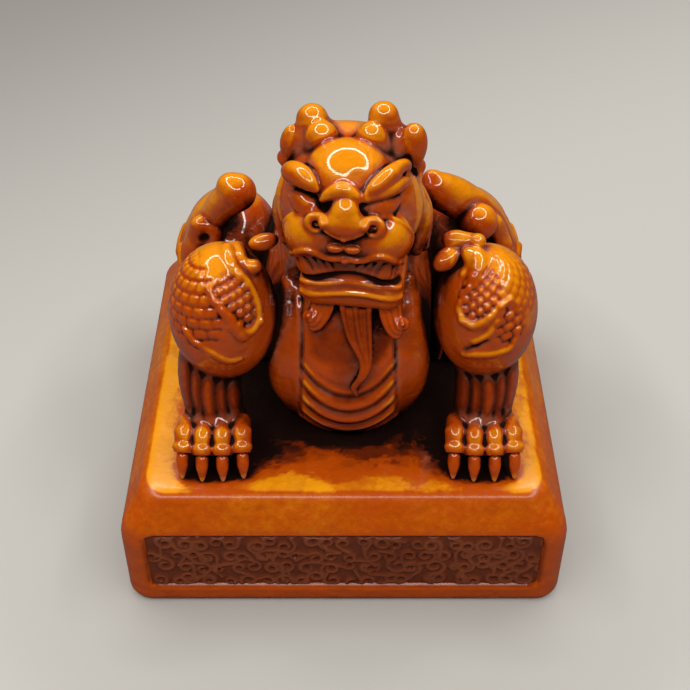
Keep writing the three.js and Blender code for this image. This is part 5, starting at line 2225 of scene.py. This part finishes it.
        # Darker along the ledge of the frieze recess.
        ledge = smoothstep(0.05, 0.3, self._recess(spots))
        # Painted shadow round the beast's feet, darkest where it blocks most of the lamp.
        stain = self.shadow_depth * np.maximum(shut - self.shadow_clear, 0) ** self.shadow_power
        shades["stain"] = np.where(on_top, stain * painted_shade_share, self.ledge_stain * ledge)
        write_shades(mesh, shades)


@dataclass(frozen=True)
class Frieze:
    """Relief panel of running scrolls on one side of the plinth."""

    quarter: int
    name: str
    step: float = 0.22
    relief: float = 0.55
    ground: float = 0.3
    scroll_pitch: float = 2.9
    rows: int = 4
    drill_depth: float = 0.9
    drill_radius: float = 0.6
    scroll_sizes: Span = (0.9, 1.9)
    scroll_turns: Span = (1.1, 1.6)
    scroll_widths: Span = (0.4, 0.65)
    scroll_steps: int = 18
    sharp_angle: float = 60.0

    # Painted shade by depth: the ground between the scrolls and the drill holes get darker and less open.
    SHADES = {"crease": (0.44, 0.12), "hollow": (0.46, 0.12), "open": (0.75, -0.3)}

    def piece(self) -> Object:
        """Builds the panel from the front one's place.

        Returns:
            The piece.
        """
        low, high = (np.array(end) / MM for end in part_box("frieze_front"))
        x, z = np.meshgrid(*(np.arange(low[a], high[a] + self.step / 2, self.step) for a in (0, 2)))
        middle = (low[2] + high[2]) / 2
        height = self._height(x, z - middle, (high[0] - low[0]) / 2, (high[2] - low[2]) / 2)
        front = np.stack([x, low[1] + self.relief - height, z], axis=-1).reshape(-1, 3)
        back = front.copy()
        back[:, 1] = high[1]
        spots = np.vstack([front, back, [[0, high[1], middle]]]) @ spin(90 * self.quarter).T
        used, polygons = self._faces(x.shape)
        mesh = smooth_mesh(self.name + "_relief", spots[used], polygons)
        mesh.set_sharp_from_angle(angle=math.radians(self.sharp_angle))
        sunk = np.concatenate([(1 - height / self.relief).ravel(), np.zeros(len(back) + 1)])[used]
        write_shades(mesh, {shade: top + fall * sunk for shade, (top, fall) in self.SHADES.items()})
        return stand_in(mesh, self.name)

    def _faces(self, shape: tuple[int, int]) -> tuple[Array, list]:
        """Faces of a closed panel.

        Args:
            shape: Rows and columns of points in its front, which its back repeats before one hub.

        Returns:
            The points that its faces use, and the faces by number among those.
        """
        number = np.arange(shape[0] * shape[1]).reshape(shape)
        corners = (number[:-1, :-1], number[:-1, 1:], number[1:, 1:], number[1:, :-1])
        quads = np.stack(corners, axis=-1).reshape(-1, 4)
        rim = rim_edges(quads)
        walls = np.column_stack([rim[:, ::-1], rim + number.size])
        fan = np.column_stack([rim[:, ::-1] + number.size, np.full(len(rim), 2 * number.size)])
        used = np.unique(np.concatenate([quads.ravel(), walls.ravel(), fan.ravel()]))
        return used, [face for part in (quads, walls, fan) for face in np.searchsorted(used, part).tolist()]

    def _height(self, x: Array, z: Array, half_long: float, half_high: float) -> Array:
        """Relief of loose scrolls over the panel.

        Args:
            x: Places along the panel from its middle.
            z: Places up it from its middle.
            half_long: Half the panel's length.
            half_high: Half its height.

        Returns:
            Millimetres of relief.
        """
        rise = np.full(x.shape, self.ground)
        for line, width in self._scrolls(half_long, half_high):
            least = np.full(x.shape, np.inf)
            for (ax, az), (bx, bz) in zip(line, line[1:]):
                run = (bx - ax) ** 2 + (bz - az) ** 2
                share = np.clip(((x - ax) * (bx - ax) + (z - az) * (bz - az)) / run, 0, 1)
                least = np.minimum(least, np.hypot(x - ax - share * (bx - ax), z - az - share * (bz - az)))
            rise = np.maximum(rise, np.sqrt(np.maximum(1 - np.square(least / width), 0)))
            away = np.hypot(x - line[0][0], z - line[0][1])
            rise = rise - self.drill_depth * smoothstep(self.drill_radius, 0.25, away)
        edge = np.minimum(half_long - np.abs(x), half_high - np.abs(z))
        return self.relief * np.maximum(rise, 0.05) * smoothstep(-0.1, 0.3, edge)

    def _scrolls(self, half_long: float, half_high: float) -> Iterable[tuple[Array, float]]:
        """Lines of the scrolls with their half widths, curled like clouds and none quite like the next.

        Args:
            half_long: Half the panel's length.
            half_high: Half its height.
        """
        chance = random.Random(10 + self.quarter)
        count = round(2 * half_long / self.scroll_pitch)
        for row in range(self.rows):
            for i in range(count):
                place = i + 0.5 + 0.5 * (row % 2) + chance.uniform(-0.3, 0.3)
                x = -half_long + place * 2 * half_long / count
                z = half_high * (2 * (row + 0.5) / self.rows - 1) + chance.uniform(-0.7, 0.7)
                size, hand = chance.uniform(*self.scroll_sizes), chance.choice((-1, 1))
                start, turns = chance.uniform(0, 2 * math.pi), chance.uniform(*self.scroll_turns)
                turn = start + np.linspace(0, turns * 2 * math.pi, self.scroll_steps)
                away = size * np.linspace(0.12, 1, self.scroll_steps)
                curl = np.column_stack([x + hand * away * np.cos(turn), z + away * np.sin(turn)])
                tail = curl[-1] + np.cumsum([curl[-1] - curl[-2]] * 3, axis=0)
                yield np.vstack([curl, tail]), chance.uniform(*self.scroll_widths)


@dataclass(frozen=True)
class Studio:
    """Camera, floor and ring lamp.

    Args:
        pitch: How far the camera looks down on the target, in degrees.
        lens: Focal length on a 36 mm sensor.
        floor_mirrored: Colour of the floor as the wax mirrors it.
        floor_lean: How much sooner the floor darkens on the left than on the right.
        floor_fade: Where the floor starts to darken and where it is darkest, in metres.
        ring_sides: Straight tubes that make the ring lamp overhead.
        ring_energy: Watts of each tube.
        fill: Strength of the even light of the room.
    """

    target: Point = (0.17, 0.0, 25.33)
    pitch: float = 41.44
    distance: float = 210.5
    lens: float = 62.6
    floor_near: Colour = (0.44, 0.435, 0.42)
    floor_far: Colour = (0.23, 0.222, 0.215)
    floor_mirrored: Colour = (0.1, 0.1, 0.1)
    floor_lean: float = 0.7
    floor_fade: Span = (0.02, 0.3)
    floor_rough: float = 0.7
    floor_shine: float = 0.15
    floor_size: float = 3000.0
    ring_radius: float = 320.0
    ring_height: float = 470.0
    ring_width: float = 56.0
    ring_sides: int = 12
    ring_energy: float = 0.55
    ring_colour: Colour = (1.0, 0.965, 0.91)
    fill: float = 0.03
    fill_colour: Colour = (1.0, 0.985, 0.97)

    def build(self) -> None:
        """Sets up the stage."""
        self._camera()
        self._floor()
        self._lamp()
        self._room()
        bpy.context.scene.view_settings.view_transform = "Standard"

    def _camera(self) -> None:
        """Camera of the main view."""
        data = bpy.data.cameras.new("camera")
        data.lens = self.lens
        data.clip_start, data.clip_end = 0.01, 10
        camera = show(data)
        pitch = math.radians(self.pitch)
        back = Vector((0, -math.cos(pitch), math.sin(pitch)))
        camera.location = (Vector(self.target) + back * self.distance) * MM
        camera.rotation_euler = (-back).to_track_quat("-Z", "Y").to_euler()
        bpy.context.scene.camera = camera

    def _floor(self) -> None:
        """Pale floor with painted shade, darker behind the object and to the left as the light falls off."""
        size = self.floor_size * MM
        mesh = bpy.data.meshes.new("floor")
        corners = [(-size, -size, 0), (size, -size, 0), (size, size, 0), (-size, size, 0)]
        mesh.from_pydata(corners, [], [(0, 1, 2, 3)])
        floor = show(mesh)
        material = bpy.data.materials.new("floor")
        graph = Graph(material)
        place = graph.place()
        # Painted shade: the floor darkens away from the lamp, sooner on the left.
        far = (graph.along(place, 1) - graph.along(place, 0) * self.floor_lean).ease(*self.floor_fade)
        colour = graph.mix(far, self.floor_near, self.floor_far)
        mirrored = graph.value("ShaderNodeLightPath", {}, {}, "Is Glossy Ray")
        colour = graph.mix(mirrored, colour, self.floor_mirrored)
        inputs = {"Base Color": colour, "Roughness": self.floor_rough, "Specular IOR Level": self.floor_shine}
        graph.surface(inputs)
        mesh.materials.append(material)

    def _lamp(self) -> None:
        """Ring lamp overhead, made of straight tubes."""
        length = 2 * self.ring_radius * math.tan(math.pi / self.ring_sides)
        for i in range(self.ring_sides):
            data = bpy.data.lights.new(f"tube_{i}", "AREA")
            data.shape = "RECTANGLE"
            data.size, data.size_y = length * MM, self.ring_width * MM
            data.energy = self.ring_energy
            data.color = self.ring_colour
            light = show(data)
            angle = 2 * math.pi * i / self.ring_sides
            across, deep = math.sin(angle) * self.ring_radius, -math.cos(angle) * self.ring_radius
            light.location = Vector((across, deep, self.ring_height)) * MM
            light.rotation_euler = (0, 0, angle)

    def _room(self) -> None:
        """Even light from all round."""
        world = bpy.data.worlds.new("room")
        world.use_nodes = True
        background = world.node_tree.nodes["Background"]
        background.inputs["Color"].default_value = (*self.fill_colour, 1.0)
        background.inputs["Strength"].default_value = self.fill
        bpy.context.scene.world = world


def dress(piece: Object, finish: StoneFinish, looks: dict[str, Material]) -> None:
    """Gives a piece its finish and lets it ride on the frame.

    Args:
        piece: The piece.
        finish: Its finish.
        looks: Materials made so far, by slot.
    """
    if finish.slot not in looks:
        looks[finish.slot] = finish.material()
    piece.data.materials.append(looks[finish.slot])
    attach(piece, BODY)


def main() -> None:
    """Builds the looks round the frame."""
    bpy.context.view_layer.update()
    looks: dict[str, Material] = {}
    beast = Beast()
    for piece in beast.pieces():
        dress(piece, CARVED, looks)
    dress(Plinth(beast.skin).piece(), AMBER, looks)
    for quarter, side in enumerate(("front", "right", "back", "left")):
        dress(Frieze(quarter, "frieze_" + side).piece(), TINTED, looks)
    Studio().build()


if __name__ == "__main__":
    main()
